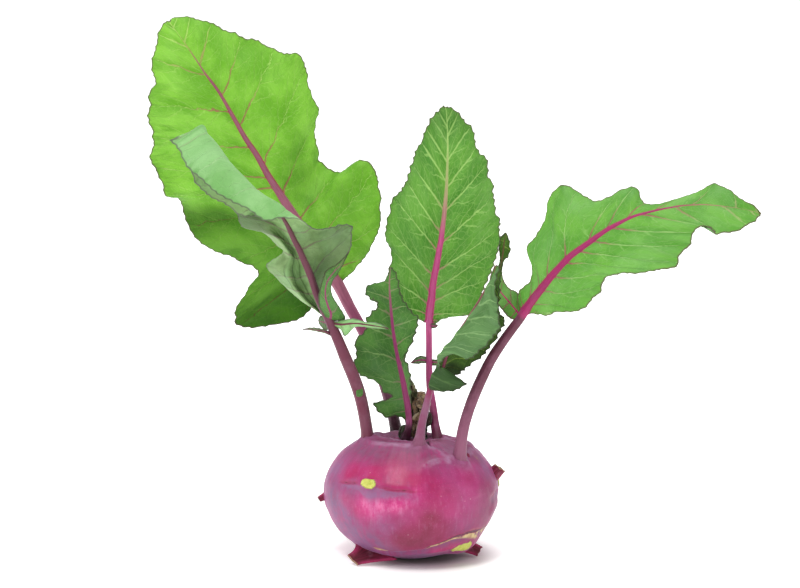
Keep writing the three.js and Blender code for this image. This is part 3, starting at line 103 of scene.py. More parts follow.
    [40.8,-30.9,144.4,40.3,-31.4,144.2,40,-32.3,144.2,40.2,-32.8,143.8,41.2,-30.7,144.4,41.7,-30.4,144.1], [41.7,-30.4,148.9,40.8,-30.4,149.1,40.3,-31.4,149.3,39.9,-32.4,149.4,43.1,-29.3,148.1,44.5,-28.2,147.2],
    [42.1,-29.8,152.9,41.2,-29.9,153.2,40.5,-30.9,153.6,39.9,-32,154.2,43.5,-28.8,152.3,44.9,-27.7,151.3], [42.6,-29.2,155.8,41.9,-29.7,156,41.2,-30.2,156.1,40.5,-30.7,156,43.5,-28.7,155.5,44.4,-28.1,155],
    [42.8,-28.9,157.6,42.7,-28.9,157.6,42.6,-29,157.5,42.5,-29.1,157.5,42.9,-28.9,157.6,43.1,-28.8,157.5],
  ]),
  "blade_right": dict(petiole="petiole_right", left=2, right=2, rows=[
    [51.2,-25.4,119.5,50.7,-25.3,119.9,50.3,-25.3,120.2,51.7,-25.5,119.2,52.1,-25.5,118.9], [52.5,-25.6,121.7,50.7,-25.8,124.8,48.9,-24.1,127.6,54.8,-26.5,120.8,57,-27.3,119.9],
    [54.3,-25.9,124.2,52.9,-25.7,128.1,51.6,-23.5,131.7,58.1,-29,122.2,61.9,-30.1,119.9], [56.6,-26.2,127.3,55.7,-25.1,131.4,54.9,-22,135.2,62.5,-31.2,124.9,68.4,-34.1,122.2],
    [59.2,-26.7,130.8,57.3,-24.4,136.5,55.4,-20,141.8,67,-34.4,127.3,74.9,-38.2,123.1], [61.9,-27.1,134.4,57.5,-23.9,141.5,53.2,-16.7,148,70.7,-36,130.4,79.7,-41,125.9],
    [64.6,-27.5,137.9,61.1,-23.5,146.9,57.8,-15.4,155.5,74.6,-37.2,135.3,84.8,-42.8,132.1], [67.7,-28,141.4,64.8,-23,153,62.2,-14.1,164.1,76.8,-37.5,139.8,86.1,-43,137.6],
    [70.8,-28.5,144.9,66.9,-22.9,158.4,63.3,-13.2,171.3,81,-38.2,143.4,91.4,-43.8,141.2], [73.9,-29,147.8,71.2,-23,162.4,68.7,-13.1,176.6,87.1,-40.7,145.1,100.5,-46.3,141.6],
    [77.5,-29.5,150.6,76.1,-24.3,163.1,75,-15,175.3,94.1,-42.3,147.5,111,-49,143.6], [81,-30.1,153.4,81.2,-26.1,162.5,81.7,-18.1,171,99.8,-43.2,149.9,118.8,-50.3,145.6],
    [85,-30.7,156.5,86.8,-27.5,164.3,88.8,-20.2,171.5,102,-43,153.9,119.3,-49.3,150.4], [89.4,-31.4,159.6,92.1,-27.8,168,95.1,-20.2,175.9,106.8,-42.3,157.5,124.3,-49.1,154.9],
    [94.3,-32.2,162.4,97.7,-28.7,170,101.4,-21.2,177.2,109.7,-41.7,161.2,125.4,-47.3,159.5], [100,-33.1,165.3,102.2,-30.4,168.8,104.5,-25.7,172,113.9,-41.4,164.4,127.9,-45.7,162.9],
    [106.7,-34.2,167.4,108.6,-32.4,169.3,110.8,-28.7,170.8,119.7,-40.8,165.1,132.9,-45.4,162.4], [114.6,-35.4,169.4,116.8,-33.2,171.2,119.3,-29,172.7,125.2,-42.2,164.9,135.9,-46.9,160.2],
    [124.3,-37,171,126.6,-34.3,173.7,129.1,-29.6,176.2,133.3,-43.5,166,142.4,-48,160.8], [134.9,-38.6,171.2,135.8,-35.7,175.6,137,-30.8,179.7,141.7,-43.8,167.3,148.7,-47,163.1],
    [145.4,-40.3,170.1,145.1,-38.8,173.4,145.1,-35.2,176.4,149.2,-44,167.7,153.3,-45.7,165.2], [152.5,-41.4,168.9,152.3,-40.4,170.7,152.2,-39.4,172.4,154,-42.7,167.8,155.5,-44,166.7],
    [156.4,-42.1,168.1,156.3,-42,168.3,156.1,-42,168.5,156.4,-42.1,167.8,156.4,-42.1,167.6],
  ]),
  "leaflet_front_left_1": dict(petiole="petiole_front_left", left=2, right=2, rows=[
    [-37.2,-18.2,115.3,-37.5,-18.2,115.1,-37.9,-18.1,115,-36.3,-17.7,115.1,-35.4,-17.1,114.8], [-36.6,-22.2,119,-38.3,-22.2,119.2,-40,-22.2,119.5,-33.5,-19.5,117.4,-30.3,-16.9,115.8],
    [-37.9,-24.3,123,-39.9,-24.6,123.1,-41.9,-24.8,123.1,-35.5,-21.8,122.6,-33.2,-19.3,122.2], [-38.9,-26.6,127.6,-40.6,-26.9,127.8,-42.3,-27.1,128.1,-37.4,-24.6,127.5,-35.8,-22.6,127.4],
    [-38.9,-28,132,-40.1,-28.6,132.3,-41.4,-29.1,132.6,-37.7,-26.5,131.9,-36.5,-25.1,131.8], [-37.7,-28.6,136,-38.9,-29.2,136.7,-40,-29.8,137.3,-36.5,-27.1,135.6,-35.3,-25.6,135.3],
    [-35.4,-28,139.1,-36.8,-28.6,139.8,-38.1,-29.2,140.4,-34.2,-27,138.7,-33,-26,138.3], [-32.3,-26.5,142.3,-33,-27,142.5,-33.8,-27.5,142.7,-31.5,-26,142.4,-30.7,-25.5,142.4],
    [-29.6,-25,146.3,-29.9,-25.5,146.1,-30.2,-26,145.9,-29.2,-25,146.3,-28.9,-25,146.3], [-28.2,-24.3,148.2,-28.3,-24.3,148.1,-28.4,-24.3,148,-28.1,-24.3,148.2,-28,-24.3,148.2],
  ]),
  "leaflet_front_left_2": dict(petiole="petiole_front_left", left=2, right=2, rows=[
    [-35.8,-17.9,113.8,-35.9,-17.9,114.3,-36,-18,114.7,-35.7,-17.8,113.2,-35.5,-17.7,112.6], [-32,-20.8,113.8,-31.6,-20,114.7,-31.1,-19.1,115.5,-32.1,-19.2,112.4,-32.1,-17.5,110.9],
    [-28.8,-21.9,114.3,-27.7,-21,115.3,-26.5,-20.2,116.3,-29.5,-19,111.1,-30.3,-16.2,107.9], [-25.1,-21.9,114.5,-24.5,-21,115.1,-23.8,-20.1,115.7,-25.5,-19.8,113.2,-25.9,-17.7,111.9],
    [-21.5,-21.8,114.1,-21,-20.9,114.4,-20.6,-20,114.7,-21.7,-20.3,113.3,-22,-18.7,112.5], [-17.4,-20.8,113.3,-16.9,-19.8,113.8,-16.5,-18.9,114.3,-17.5,-19.2,112.4,-17.6,-17.6,111.4],
    [-13.7,-18.7,112.3,-13.5,-18.2,112.7,-13.3,-17.8,113.1,-13.7,-17.6,111.6,-13.7,-16.6,111], [-10.2,-16.6,111.1,-10.2,-16.6,111.2,-10.2,-16.6,111.3,-10.3,-16.6,111,-10.4,-16.5,110.9],
  ]),
  "leaflet_front_left_3": dict(petiole="petiole_front_left", left=2, right=2, rows=[
    [-37.2,-16.4,108.8,-37.4,-16.5,109.3,-37.5,-16.5,109.8,-37,-16.3,108.2,-36.8,-16.2,107.6], [-39.5,-18.5,110.1,-39.6,-18.6,110.6,-39.7,-18.6,111,-39.4,-18,109.6,-39.3,-17.4,109],
    [-42.7,-19.6,110.9,-42.8,-19.6,111.4,-42.9,-19.7,111.9,-42.6,-19,110.5,-42.5,-18.5,110], [-45.9,-19.6,111.4,-46,-19.7,111.7,-46.1,-19.7,112.1,-45.8,-19.1,111,-45.7,-18.6,110.7],
    [-48.2,-18.7,111.3,-48.2,-18.7,111.5,-48.2,-18.7,111.6,-48.1,-18.6,111.2,-48,-18.6,111], [-49.9,-17.6,111,-49.8,-17.6,111,-49.8,-17.7,111.1,-49.8,-17.6,110.9,-49.8,-17.6,110.8],
  ]),
  "leaflet_front_left_4": dict(petiole="petiole_front_left", left=2, right=2, rows=[
    [-37.7,-16,113.2,-38,-16.1,114.2,-38.3,-16.2,115.1,-37.6,-15.8,112,-37.5,-15.7,110.8], [-39.6,-14,113.6,-39.7,-14.2,115,-39.8,-14.4,116.5,-39.5,-13.8,111.8,-39.4,-13.6,110],
    [-41.3,-12.1,113.7,-41.5,-12.3,114.9,-41.8,-12.4,116.1,-41.3,-11.9,112.3,-41.3,-11.8,110.8], [-42.7,-10.1,113.5,-42.8,-10.2,113.8,-42.8,-10.2,114.1,-42.6,-10.1,113.1,-42.6,-10,112.7],
  ]),
  "leaflet_right_1": dict(petiole="petiole_right", left=2, right=2, rows=[
    [50.5,-25.2,118.3,50.8,-24.8,118.9,51,-24.5,119.4,49.9,-25.6,117.8,49.4,-26,117.3], [48.3,-24,120.7,49,-23,123.1,49.7,-22,125.4,47.7,-24.8,118.8,47.1,-25.5,116.9],
    [45.8,-22,123.6,47.3,-20.5,126.1,48.8,-19,128.6,45.1,-23.2,120.8,44.4,-24.5,118], [42.7,-19,126.8,44,-17.5,128.4,45.4,-16,130,42.1,-20.5,124,41.5,-22,121.3],
    [40.1,-16,129.8,41.6,-14.5,131.3,43.1,-13,132.8,39.1,-17.5,127.5,38.2,-19,125.2], [38.8,-13,132.8,40.4,-11.5,134.4,42,-10,136,37.5,-14.5,131.2,36.2,-16,129.5],
    [38.6,-10.5,136.6,39.7,-9.8,137.6,40.7,-9,138.7,37.6,-11.5,135.6,36.5,-12.5,134.6], [39.1,-9,139.4,39.4,-9,139.5,39.6,-9,139.6,38.9,-9,139.3,38.7,-9,139.2],
  ]),
  "leaflet_back_1": dict(petiole="petiole_back", left=2, right=2, rows=[
    [8.1,22.3,88.4,8.1,22.4,89.2,8.1,22.5,90.1,8.1,22.2,87.9,8.1,22.1,87.5], [5.5,20.8,89.2,5.4,21.3,90.1,5.3,21.7,91.1,5.5,21,88.4,5.5,21.1,87.7],
    [3.1,20.3,89,3,20.7,89.7,2.9,21,90.4,3.2,20.4,88.2,3.3,20.6,87.4], [0.3,20.1,88,0.3,20.2,88.1,0.4,20.2,88.3,0.5,20.1,87.8,0.7,20.1,87.7],
  ]),
  "leaflet_back_2": dict(petiole="petiole_back", left=2, right=2, rows=[
    [9.8,22.2,87.9,9.8,22.3,88.5,9.8,22.4,89.1,9.9,22.1,87.2,9.9,22,86.5], [11.5,21.2,88.1,11.4,21.3,88.7,11.2,21.4,89.3,11.5,21,87.2,11.5,20.9,86.3],
    [13.4,20.2,88.1,13.2,20.2,88.6,13.1,20.3,89.1,13.2,20,87.3,13.1,19.9,86.4], [15,20.1,87.6,15,20.1,87.7,15,20.1,87.9,15,20,87.4,14.9,20,87.2],
  ]),
  "leaflet_back_3": dict(petiole="petiole_back", left=2, right=2, rows=[
    [9.6,25.4,105.1,9.7,25.5,105.7,9.8,25.6,106.2,9.7,25.3,104.5,9.8,25.1,103.9], [11,23.3,105.2,11.1,23.4,105.7,11.1,23.5,106.2,10.9,23.5,104.6,10.8,23.6,104.1],
    [12.4,22.3,105.3,12.4,22.4,105.7,12.5,22.5,106,12.3,22.4,104.9,12.2,22.6,104.6], [13.1,22.4,105.7,13.1,22.4,105.7,13.1,22.4,105.8,13.1,22.4,105.6,13,22.3,105.5],
  ]),
}
PETIOLES = {
  "petiole_back_left": [
    [-35.8,38.1,124.5,3], [-32.9,36.8,119.4,2.85], [-28.8,34.9,111.5,2.7], [-24.2,33.2,103.6,2.65], [-19.4,31.2,94,2.6], [-14.6,28.9,81.7,2.6], [-10.7,26.9,69.9,2.65], [-8.3,25.5,60.9,2.75], [-7.1,24.5,55.2,2.9], [-6.2,22,49.9,3.4],
  ],
  "petiole_front_left": [
    [-37.6,-17.2,115.3,2.15], [-33.6,-15,105.5,2.5], [-30,-12.8,95.9,2.75], [-26.3,-10.7,86.5,2.85], [-23.8,-8.7,78.5,2.85], [-22,-6.7,69.8,2.8], [-20.7,-5.1,61,2.9], [-20.2,-4.5,56.8,3.2], [-19.8,-4,52.4,4],
  ],
  "petiole_centre_left": [
    [-0.6,3.7,63.2,1.5], [-0.8,3.5,60.3,1.6], [-1.7,3.6,57.4,1.9], [-2.6,4,54,2.6],
  ],
  "petiole_back": [
    [8.7,25.7,106.7,1.5], [8.9,23.9,97.8,1.5], [8.9,22,87,1.55], [9.2,20.4,77.1,1.65], [10.2,17.8,70.8,1.75], [10.9,14,65.8,1.9], [11.5,9.6,60.9,2.05], [12.3,5.6,57,2.3], [13,2.8,53.7,3], [13.2,1.2,50.2,4],
  ],
  "petiole_front": [
    [8.9,-20.5,83.6,1.45], [7.6,-19.2,77.2,1.6], [6.6,-18.8,72.8,1.75], [5.4,-18.8,68.1,1.85], [4.7,-19,63.4,2.05], [4.2,-19.6,59.8,2.5], [3.8,-20.2,56.4,3.8], [3.5,-19.2,53.5,5],
  ],
  "petiole_right": [
    [51.2,-25.4,119.5,2.1], [49.9,-25.2,117.3,2.15], [46.1,-24.6,112.1,2.2], [41.2,-23.8,104.9,2.3], [36.8,-23.2,97.7,2.4], [32.9,-22.6,89.5,2.5], [29.4,-22,81.2,2.55], [26.5,-21.6,73,2.6], [24.3,-21.2,64.7,2.65], [23.1,-21,56.5,2.8], [22.6,-20,51.1,3.4], [22.4,-18,47.1,4.4],
  ],
}
MARGINS = {
  ("blade_back_left", "left"): [0,0,0,0,0,0,1.3,1.6,0.6,0.1,-0.4,0.1,0.4,0.4,0.4,0,0,-2.3,0,1.1,0.8,0.1,2.5,0.4,0.1,0.8,-0.6,0.1,-0.1,-0.6,0.6,0.8,1.1,1.8,1.8,1.3,0.8,-0.8,-1.3,-1.6,0.4,2.5,1.1,0.6,1.3,0.1,0.4,0.8,1.3,0.1,-0.8,0.8,-0.1,1.6,1.3,1.3,-0.1,-0.6,0.6,1.1,0.4,-2.1,-1.3,0.4,0.6,0.6,-0.1,-0.1,-0.1,0.1,1.1,1.3,0.6,0.6,0.9,0.9,0.6,0.6,0.9,0.9,0.6],
  ("blade_back_left", "right"): [0,0,0.6,-0.1,-0.4,0.6,0.6,0.8,1.1,1.1,0.8,0.8,0.4,-0.1,-0.1,0,0,0,0,-0.8,-0.4,0.6,-0.4,0.6,0.8,1.3,0.8,0.4,0.1,0.8,1.6,1.6,1.3,0.1,-0.4,-1.3,-1.8,-2.6,0,-0.9,-0.1,0.1,0.4,0.6,2.6,0.4,-0.1,-0.9,0.4,0.4,0.6,1.1,0.4,-1.6,-2.3,-1.3,0.1,0.1,1.8,2.1,0.6,0.9,1.8,0.4,0.6,1.1,1.3,1.1,0.6,-0.1,0.1,0.4,0.4,0.4,0.6,0.9,0.6,0.9,1.1,0.9,0.9],
  ("blade_back", "left"): [0.6,0.6,0.1,0,0,0,0,0,0,0,0,0,0,3.5,2.5,-0.4,-0.1,-0.1,0.4,0.6,0,0,0,-0.4,0.4,1.3,1.3,0.4,0.8,0.1,0.8,0.4,1.3,0.6,1.1,1.3,0.1,-0.4,-0.6,0.4,0.8,0.1,0.6,1.1,0.9,0.6,0.9,0.4,0.9,1.3,0.9,1.1,1.1],
  ("blade_back", "right"): [2,0.8,0.4,0.1,1.3,0,0,0,0,0,0,0,0,0,0,0,0,0,0,0,0,0,-0.8,-0.4,0.4,-1.8,-1.1,-0.8,-0.6,0.8,-1.1,-1.3,-0.1,1.1,1.6,-0.1,0.1,-0.6,0.1,0.1,0.6,0.4,-1.1,-0.6,-0.4,-0.4,-0.1,-0.4,-0.4,-0.1,0.1,-0.1,0.4],
  ("blade_right", "left"): [0,0,0,0,0,0,0.6,0.3,0.3,0.1,0.1,0.1,0.3,0.3,0.3,0.3,0.8,0,0.1,-0.1,0.6,0.6,0.1,-0.1,0.3,0.1,-0.1,0.1,0.6,1,1,0.6,-0.3,0.6,0.3,0.3,0.6,0.8,0.6,0.3,0.1,-0.1,0.1,0.8,0.6,0.1,0.3,0.6,1.5,1.3,-0.3,-0.1,0.3,0.1,0.3,0.6,0.6,1,1.2,0.6,0.3,-0.3,-0.3,-0.1,0.1,0.3,0.3,-0.3,-0.6,-0.8,-0.8,-0.8,-0.8,-1,-0.6,0.1,0.6,0.1,0.1,0.6,-0.3,-1,-1.2,-1,-0.3,-0.1,0.3,0.3,0],
  ("blade_right", "right"): [1,-0.1,-0.6,-0.3,0.3,0.1,-0.1,0.3,0.3,0.1,-0.3,-0.3,0.1,0.1,0.1,0.1,0.1,-0.3,-0.3,-0.3,-0.3,-1,-1.2,-0.8,0.3,0.1,0.1,0.3,0.3,-0.1,-0.3,0.3,0.6,0.3,-0.3,0.1,0.1,-0.1,-0.1,-0.1,-0.1,0.1,0.1,0.1,-0.3,-0.3,-0.1,-0.3,0.6,0.8,-0.1,0.1,0.1,-0.1,-0.1,-0.3,-0.1,0.6,0.3,0.8,0.8,0.8,0.8,0,0,0,0,0,0.6,0.3,-0.1,0.1,0.1,0.6,0.8,1,0.3,-0.1,0.1,0.1,0.3,-0.1,-0.1,-0.3,-0.3,0.1,0.1,-0.1,-0.3],
  ("blade_centre_left", "left"): [2.5,0,0,0,0,0,0,0.6,0.6,0.8,0.6,0,0.6,0.4,-0.4,0,0,0,0,3.2,1.3,-0.4,-0.4,0,0,0,0,0,0,0,0.1,0.1,1.1,0.4,0.6,0,0,0,0,0.8,1.3,0.8,0.6,0.4,0.8,0.1,0.6,0.4,1.1,1.1,0,0.6,0.4,0.6,0.6,0.6,0.4,0.6,0.8,1.1,0.6,0.6,1.1,0.6,0.6,0.6,-0.1,-0.4,-0.4,-0.1,-0.4,-0.1,0.6],
}

# Laterals of each blade: (station at the midrib, station at the margin), left side and right side.
VEINS = {
  "blade_back_left": ([(2.2, 1.6), (3.7, 3.6), (5.0, 5.0), (6.9, 6.9), (8.7, 8.6), (10.3, 10.1), (10.9, 11.4), (12.45, 12.7), (14.15, 14.3), (15.9, 16.2), (17.4, 17.6), (18.6, 18.7)],
                      [(2.4, 2.4), (4.2, 4.0), (5.6, 6.0), (7.9, 8.5), (9.8, 10.7), (11.55, 12.3), (13.5, 13.9), (14.8, 15.2), (16.4, 16.6), (17.7, 17.8), (18.8, 18.9)]),
  "blade_front_left": ([(1.5, 1.8), (3.0, 3.4), (4.6, 4.3), (6.4, 6.2), (8.0, 8.4), (9.7, 9.6), (12, 12), (15, 15.5), (18, 18.6), (21, 21.2)],
                       [(1.8, 3.0), (4.3, 8.2), (7.5, 9.6), (10, 11.4), (13, 13.6), (15.6, 16.4), (18, 19), (20.6, 21.4)]),
  "blade_centre_left": ([(1.6, 2), (3.2, 3.1), (5.6, 5.9), (7.8, 7.4), (9.8, 9.3), (12.2, 11.4), (14.2, 14.0), (16, 16)],
                        [(2, 2.2), (4.8, 5.2), (7.2, 7.6), (9.2, 9.6), (11.0, 10.9), (13, 12.8), (15, 14.9)]),
  "blade_back": ([(2.0, 1.6), (3.2, 3.0), (4.3, 4.3), (5.3, 5.3), (6.3, 6.4), (7.1, 7.3), (8.0, 8.1), (9.25, 9.2), (10.0, 10.1), (10.8, 10.9), (11.7, 11.8)],
                 [(2.2, 1.8), (3.6, 3.3), (4.6, 4.7), (5.5, 5.6), (6.7, 6.8), (8.0, 8.2), (9.0, 9.1), (10.1, 10.2), (11.2, 11.3), (12.0, 12.0)]),
  "blade_front": ([(1.2, 1.4), (2.6, 2.6), (4.6, 4.2), (6.6, 6.9), (8.2, 8.6), (9.8, 10.1), (11.2, 11.5), (12.7, 13), (14.2, 14.3), (16.4, 16.2), (18.2, 18.2)],
                  [(1.4, 1.6), (3.2, 4.2), (5.2, 6.4), (7.4, 8), (9.2, 9.6), (11.2, 11.4), (13.4, 13.2), (15.4, 15.2), (17.6, 17.5)]),
  "blade_right": ([(2.2, 3.2), (3.6, 6.2), (5.2, 9.2), (7.9, 10.2), (10.9, 12.9), (12.8, 14.0), (14.6, 15.4), (16.4, 16.9), (18.2, 18.9), (20, 20)],
                  [(2.1, 4.4), (4.0, 6.9), (5.8, 8.0), (7.6, 10.0), (9.5, 11.4), (11.2, 13.0), (13.2, 14.2), (15.6, 15.4), (17.4, 17.2), (19.4, 19.2)]),
}
for _k in BLADES:
    if _k not in VEINS:
        _n = len(BLADES[_k]["rows"]) - 1
        _v = [(_n * f, _n * min(f + 0.12, 0.95)) for f in (0.12, 0.3, 0.5, 0.7)]
        VEINS[_k] = (_v, [(a + 0.1 * _n * 0.3, b) for a, b in _v])

# ---------------------------------------------------------------- numbers
def lattice(ix, iy, iz, seed):
    h = (ix * 374761393 + iy * 668265263 + iz * 1440662683 + seed * 974634777) & 0xFFFFFFFF
    h = ((h ^ (h >> 13)) * 1274126177) & 0xFFFFFFFF
    h = ((h ^ (h >> 15)) * 2246822519) & 0xFFFFFFFF
    return ((h ^ (h >> 16)) & 0xFFFFFF) / float(0xFFFFFF) * 2 - 1

def vnoise(p, scale, seed=0):
    """Smooth value noise in [-1, 1]; scale is the size of one lump, in the points' units."""
    q = np.asarray(p, float) / scale + 1000.0
    i = np.floor(q).astype(np.int64)
    f = q - i
    f = f * f * f * (f * (f * 6 - 15) + 10)
    out = 0
    for dx in (0, 1):
        for dy in (0, 1):
            for dz in (0, 1):
                w = (f[..., 0] if dx else 1 - f[..., 0]) * (f[..., 1] if dy else 1 - f[..., 1]) * (f[..., 2] if dz else 1 - f[..., 2])
                out = out + w * lattice(i[..., 0] + dx, i[..., 1] + dy, i[..., 2] + dz, seed)
    return out

def fbm(p, scale, octaves=3, seed=0, gain=0.5):
    out, amp, tot = 0, 1.0, 0
    for k in range(octaves):
        out = out + amp * vnoise(p, scale / 2 ** k, seed + 17 * k)
        tot += amp
        amp *= gain
    return out / tot

def smooth(x, a, b):
    t = np.clip((np.asarray(x, float) - a) / (b - a), 0, 1)
    return t * t * (3 - 2 * t)

def cr(pts, a):
    """Uniform Catmull-Rom through pts at parameters a."""
    pts = np.asarray(pts, float)
    n = len(pts)
    a = np.clip(np.asarray(a, float), 0, n - 1)
    i = np.minimum(a.astype(int), n - 2)
    f = (a - i).reshape((-1,) + (1,) * (pts.ndim - 1))
    p1, p2 = pts[i], pts[i + 1]
    p0 = np.where((i == 0).reshape(f.shape), 2 * p1 - p2, pts[np.maximum(i - 1, 0)])
    p3 = np.where((i == n - 2).reshape(f.shape), 2 * p2 - p1, pts[np.minimum(i + 2, n - 1)])
    return 0.5 * (2 * p1 + (p2 - p0) * f + (2 * p0 - 5 * p1 + 4 * p2 - p3) * f * f + (3 * p1 - p0 - 3 * p2 + p3) * f ** 3)

def unit(v):
    return v / (np.linalg.norm(v, axis=-1, keepdims=True) + 1e-12)

def seg_dist(p, line):
    """Distance from points to a polyline, and how far along it (0..1) the nearest point is."""
    line = np.asarray(line, float)
    best = np.full(len(p), 1e9)
    along = np.zeros(len(p))
    for k in range(len(line) - 1):
        a, d = line[k], line[k + 1] - line[k]
        t = np.clip(((p - a) @ d) / (d @ d), 0, 1)
        dist = np.linalg.norm(p - a - t[:, None] * d, axis=1)
        m = dist < best
        best[m] = dist[m]
        along[m] = (k + t[m]) / (len(line) - 1)
    return best, along

def lin(r, g, b):
    """8-bit sRGB to linear."""
    f = lambda c: c / 255 / 12.92 if c / 255 <= 0.04045 else ((c / 255 + 0.055) / 1.055) ** 2.4
    return (f(r), f(g), f(b), 1.0)

# ---------------------------------------------------------------- meshes
def make_mesh(name, verts_mm, faces, attrs, mat, weld=0.0):
    me = bpy.data.meshes.new(name)
    me.from_pydata((np.asarray(verts_mm) * MM).tolist(), [], faces)
    for k, v in attrs.items():
        at = me.attributes.new(k, "FLOAT", "POINT")
        at.data.foreach_set("value", np.ascontiguousarray(v, dtype=np.float32))
    me.materials.append(mat)
    ob = bpy.data.objects.new(name, me)
    bpy.context.scene.collection.objects.link(ob)
    if weld:
        import bmesh
        bm = bmesh.new()
        bm.from_mesh(me)
        bmesh.ops.dissolve_degenerate(bm, edges=bm.edges, dist=weld * MM)
        bm.to_mesh(me)
        bm.free()
    me.shade_smooth()
    return ob

def check_closed(ob):
    import bmesh
    bm = bmesh.new()
    bm.from_mesh(ob.data)
    bad = sum(1 for e in bm.edges if len(e.link_faces) != 2)
    vol = bm.calc_volume(signed=True)
    print("MESH %-28s faces %6d open edges %d volume %.2f cm3" % (ob.name, len(bm.faces), bad, vol * 1e6))
    bm.free()

# ---------------------------------------------------------------- shader helper
class Nodes:
    def __init__(self, name):
        self.mat = bpy.data.materials.new(name)
        self.mat.use_nodes = True
        self.t = self.mat.node_tree
        self.t.nodes.clear()
        self.out = self.t.nodes.new("ShaderNodeOutputMaterial")
        self.bsdf = self.t.nodes.new("ShaderNodeBsdfPrincipled")
        self.t.links.new(self.bsdf.outputs[0], self.out.inputs[0])
        self._at = {}

    def put(self, socket, v):
        if isinstance(v, bpy.types.NodeSocket):
            self.t.links.new(v, socket)
        else:
            socket.default_value = v

    def set(self, name, v):
        self.put(self.bsdf.inputs[name], v)

    def math(self, op, a, b=0.0, c=0.0, clamp=False):
        n = self.t.nodes.new("ShaderNodeMath")
        n.operation, n.use_clamp = op, clamp
        for i, v in enumerate((a, b, c)):
            self.put(n.inputs[i], v)
        return n.outputs[0]

    def mul(self, a, b): return self.math("MULTIPLY", a, b)
    def add(self, a, b): return self.math("ADD", a, b)
    def sub(self, a, b): return self.math("SUBTRACT", a, b)
    def maxi(self, a, b): return self.math("MAXIMUM", a, b)

    def mix(self, fac, a, b, mode="MIX"):
        n = self.t.nodes.new("ShaderNodeMix")
        n.data_type, n.blend_type, n.clamp_factor = "RGBA", mode, True
        self.put(n.inputs[0], fac)
        self.put(n.inputs[6], a)
        self.put(n.inputs[7], b)
        return n.outputs[2]

    def attr(self, name):
        if name not in self._at:
            n = self.t.nodes.new("ShaderNodeAttribute")
            n.attribute_name = name
            self._at[name] = n
        return self._at[name].outputs["Fac"]

    def vec(self, x, y, z=0.0):
        n = self.t.nodes.new("ShaderNodeCombineXYZ")
        for i, v in enumerate((x, y, z)):
            self.put(n.inputs[i], v)
        return n.outputs[0]

    def obj(self):
        if "_obj" not in self._at:
            self._at["_obj"] = self.t.nodes.new("ShaderNodeTexCoord")
        return self._at["_obj"].outputs["Object"]

    def noise(self, vec, scale, detail=2.0, rough=0.5, dist=0.0, color=False):
        n = self.t.nodes.new("ShaderNodeTexNoise")
        self.put(n.inputs["Vector"], vec)
        n.inputs["Scale"].default_value = scale
        n.inputs["Detail"].default_value = detail
        n.inputs["Roughness"].default_value = rough
        n.inputs["Distortion"].default_value = dist
        return n.outputs["Color" if color else "Fac"]

    def voronoi(self, vec, scale, feature="DISTANCE_TO_EDGE", rnd=1.0):
        n = self.t.nodes.new("ShaderNodeTexVoronoi")
        n.feature = feature
        self.put(n.inputs["Vector"], vec)
        n.inputs["Scale"].default_value = scale
        n.inputs["Randomness"].default_value = rnd
        return n.outputs["Distance"]

    def smooth(self, x, a, b, lo=0.0, hi=1.0):
        n = self.t.nodes.new("ShaderNodeMapRange")
        n.interpolation_type = "SMOOTHSTEP"
        self.put(n.inputs["Value"], x)
        self.put(n.inputs["From Min"], a)
        self.put(n.inputs["From Max"], b)
        n.inputs["To Min"].default_value = lo
        n.inputs["To Max"].default_value = hi
        return n.outputs["Result"]

    def bump(self, height, dist, strength=1.0, normal=None):
        n = self.t.nodes.new("ShaderNodeBump")
        n.inputs["Strength"].default_value = strength
        n.inputs["Distance"].default_value = dist
        self.put(n.inputs["Height"], height)
        if normal is not None:
            self.t.links.new(normal, n.inputs["Normal"])
        return n.outputs["Normal"]

    def vadd(self, a, b, s=1.0):
        n = self.t.nodes.new("ShaderNodeVectorMath")
        n.operation = "MULTIPLY_ADD"
        self.put(n.inputs[0], b)
        n.inputs[1].default_value = (s, s, s)
        self.put(n.inputs[2], a)
        return n.outputs[0]

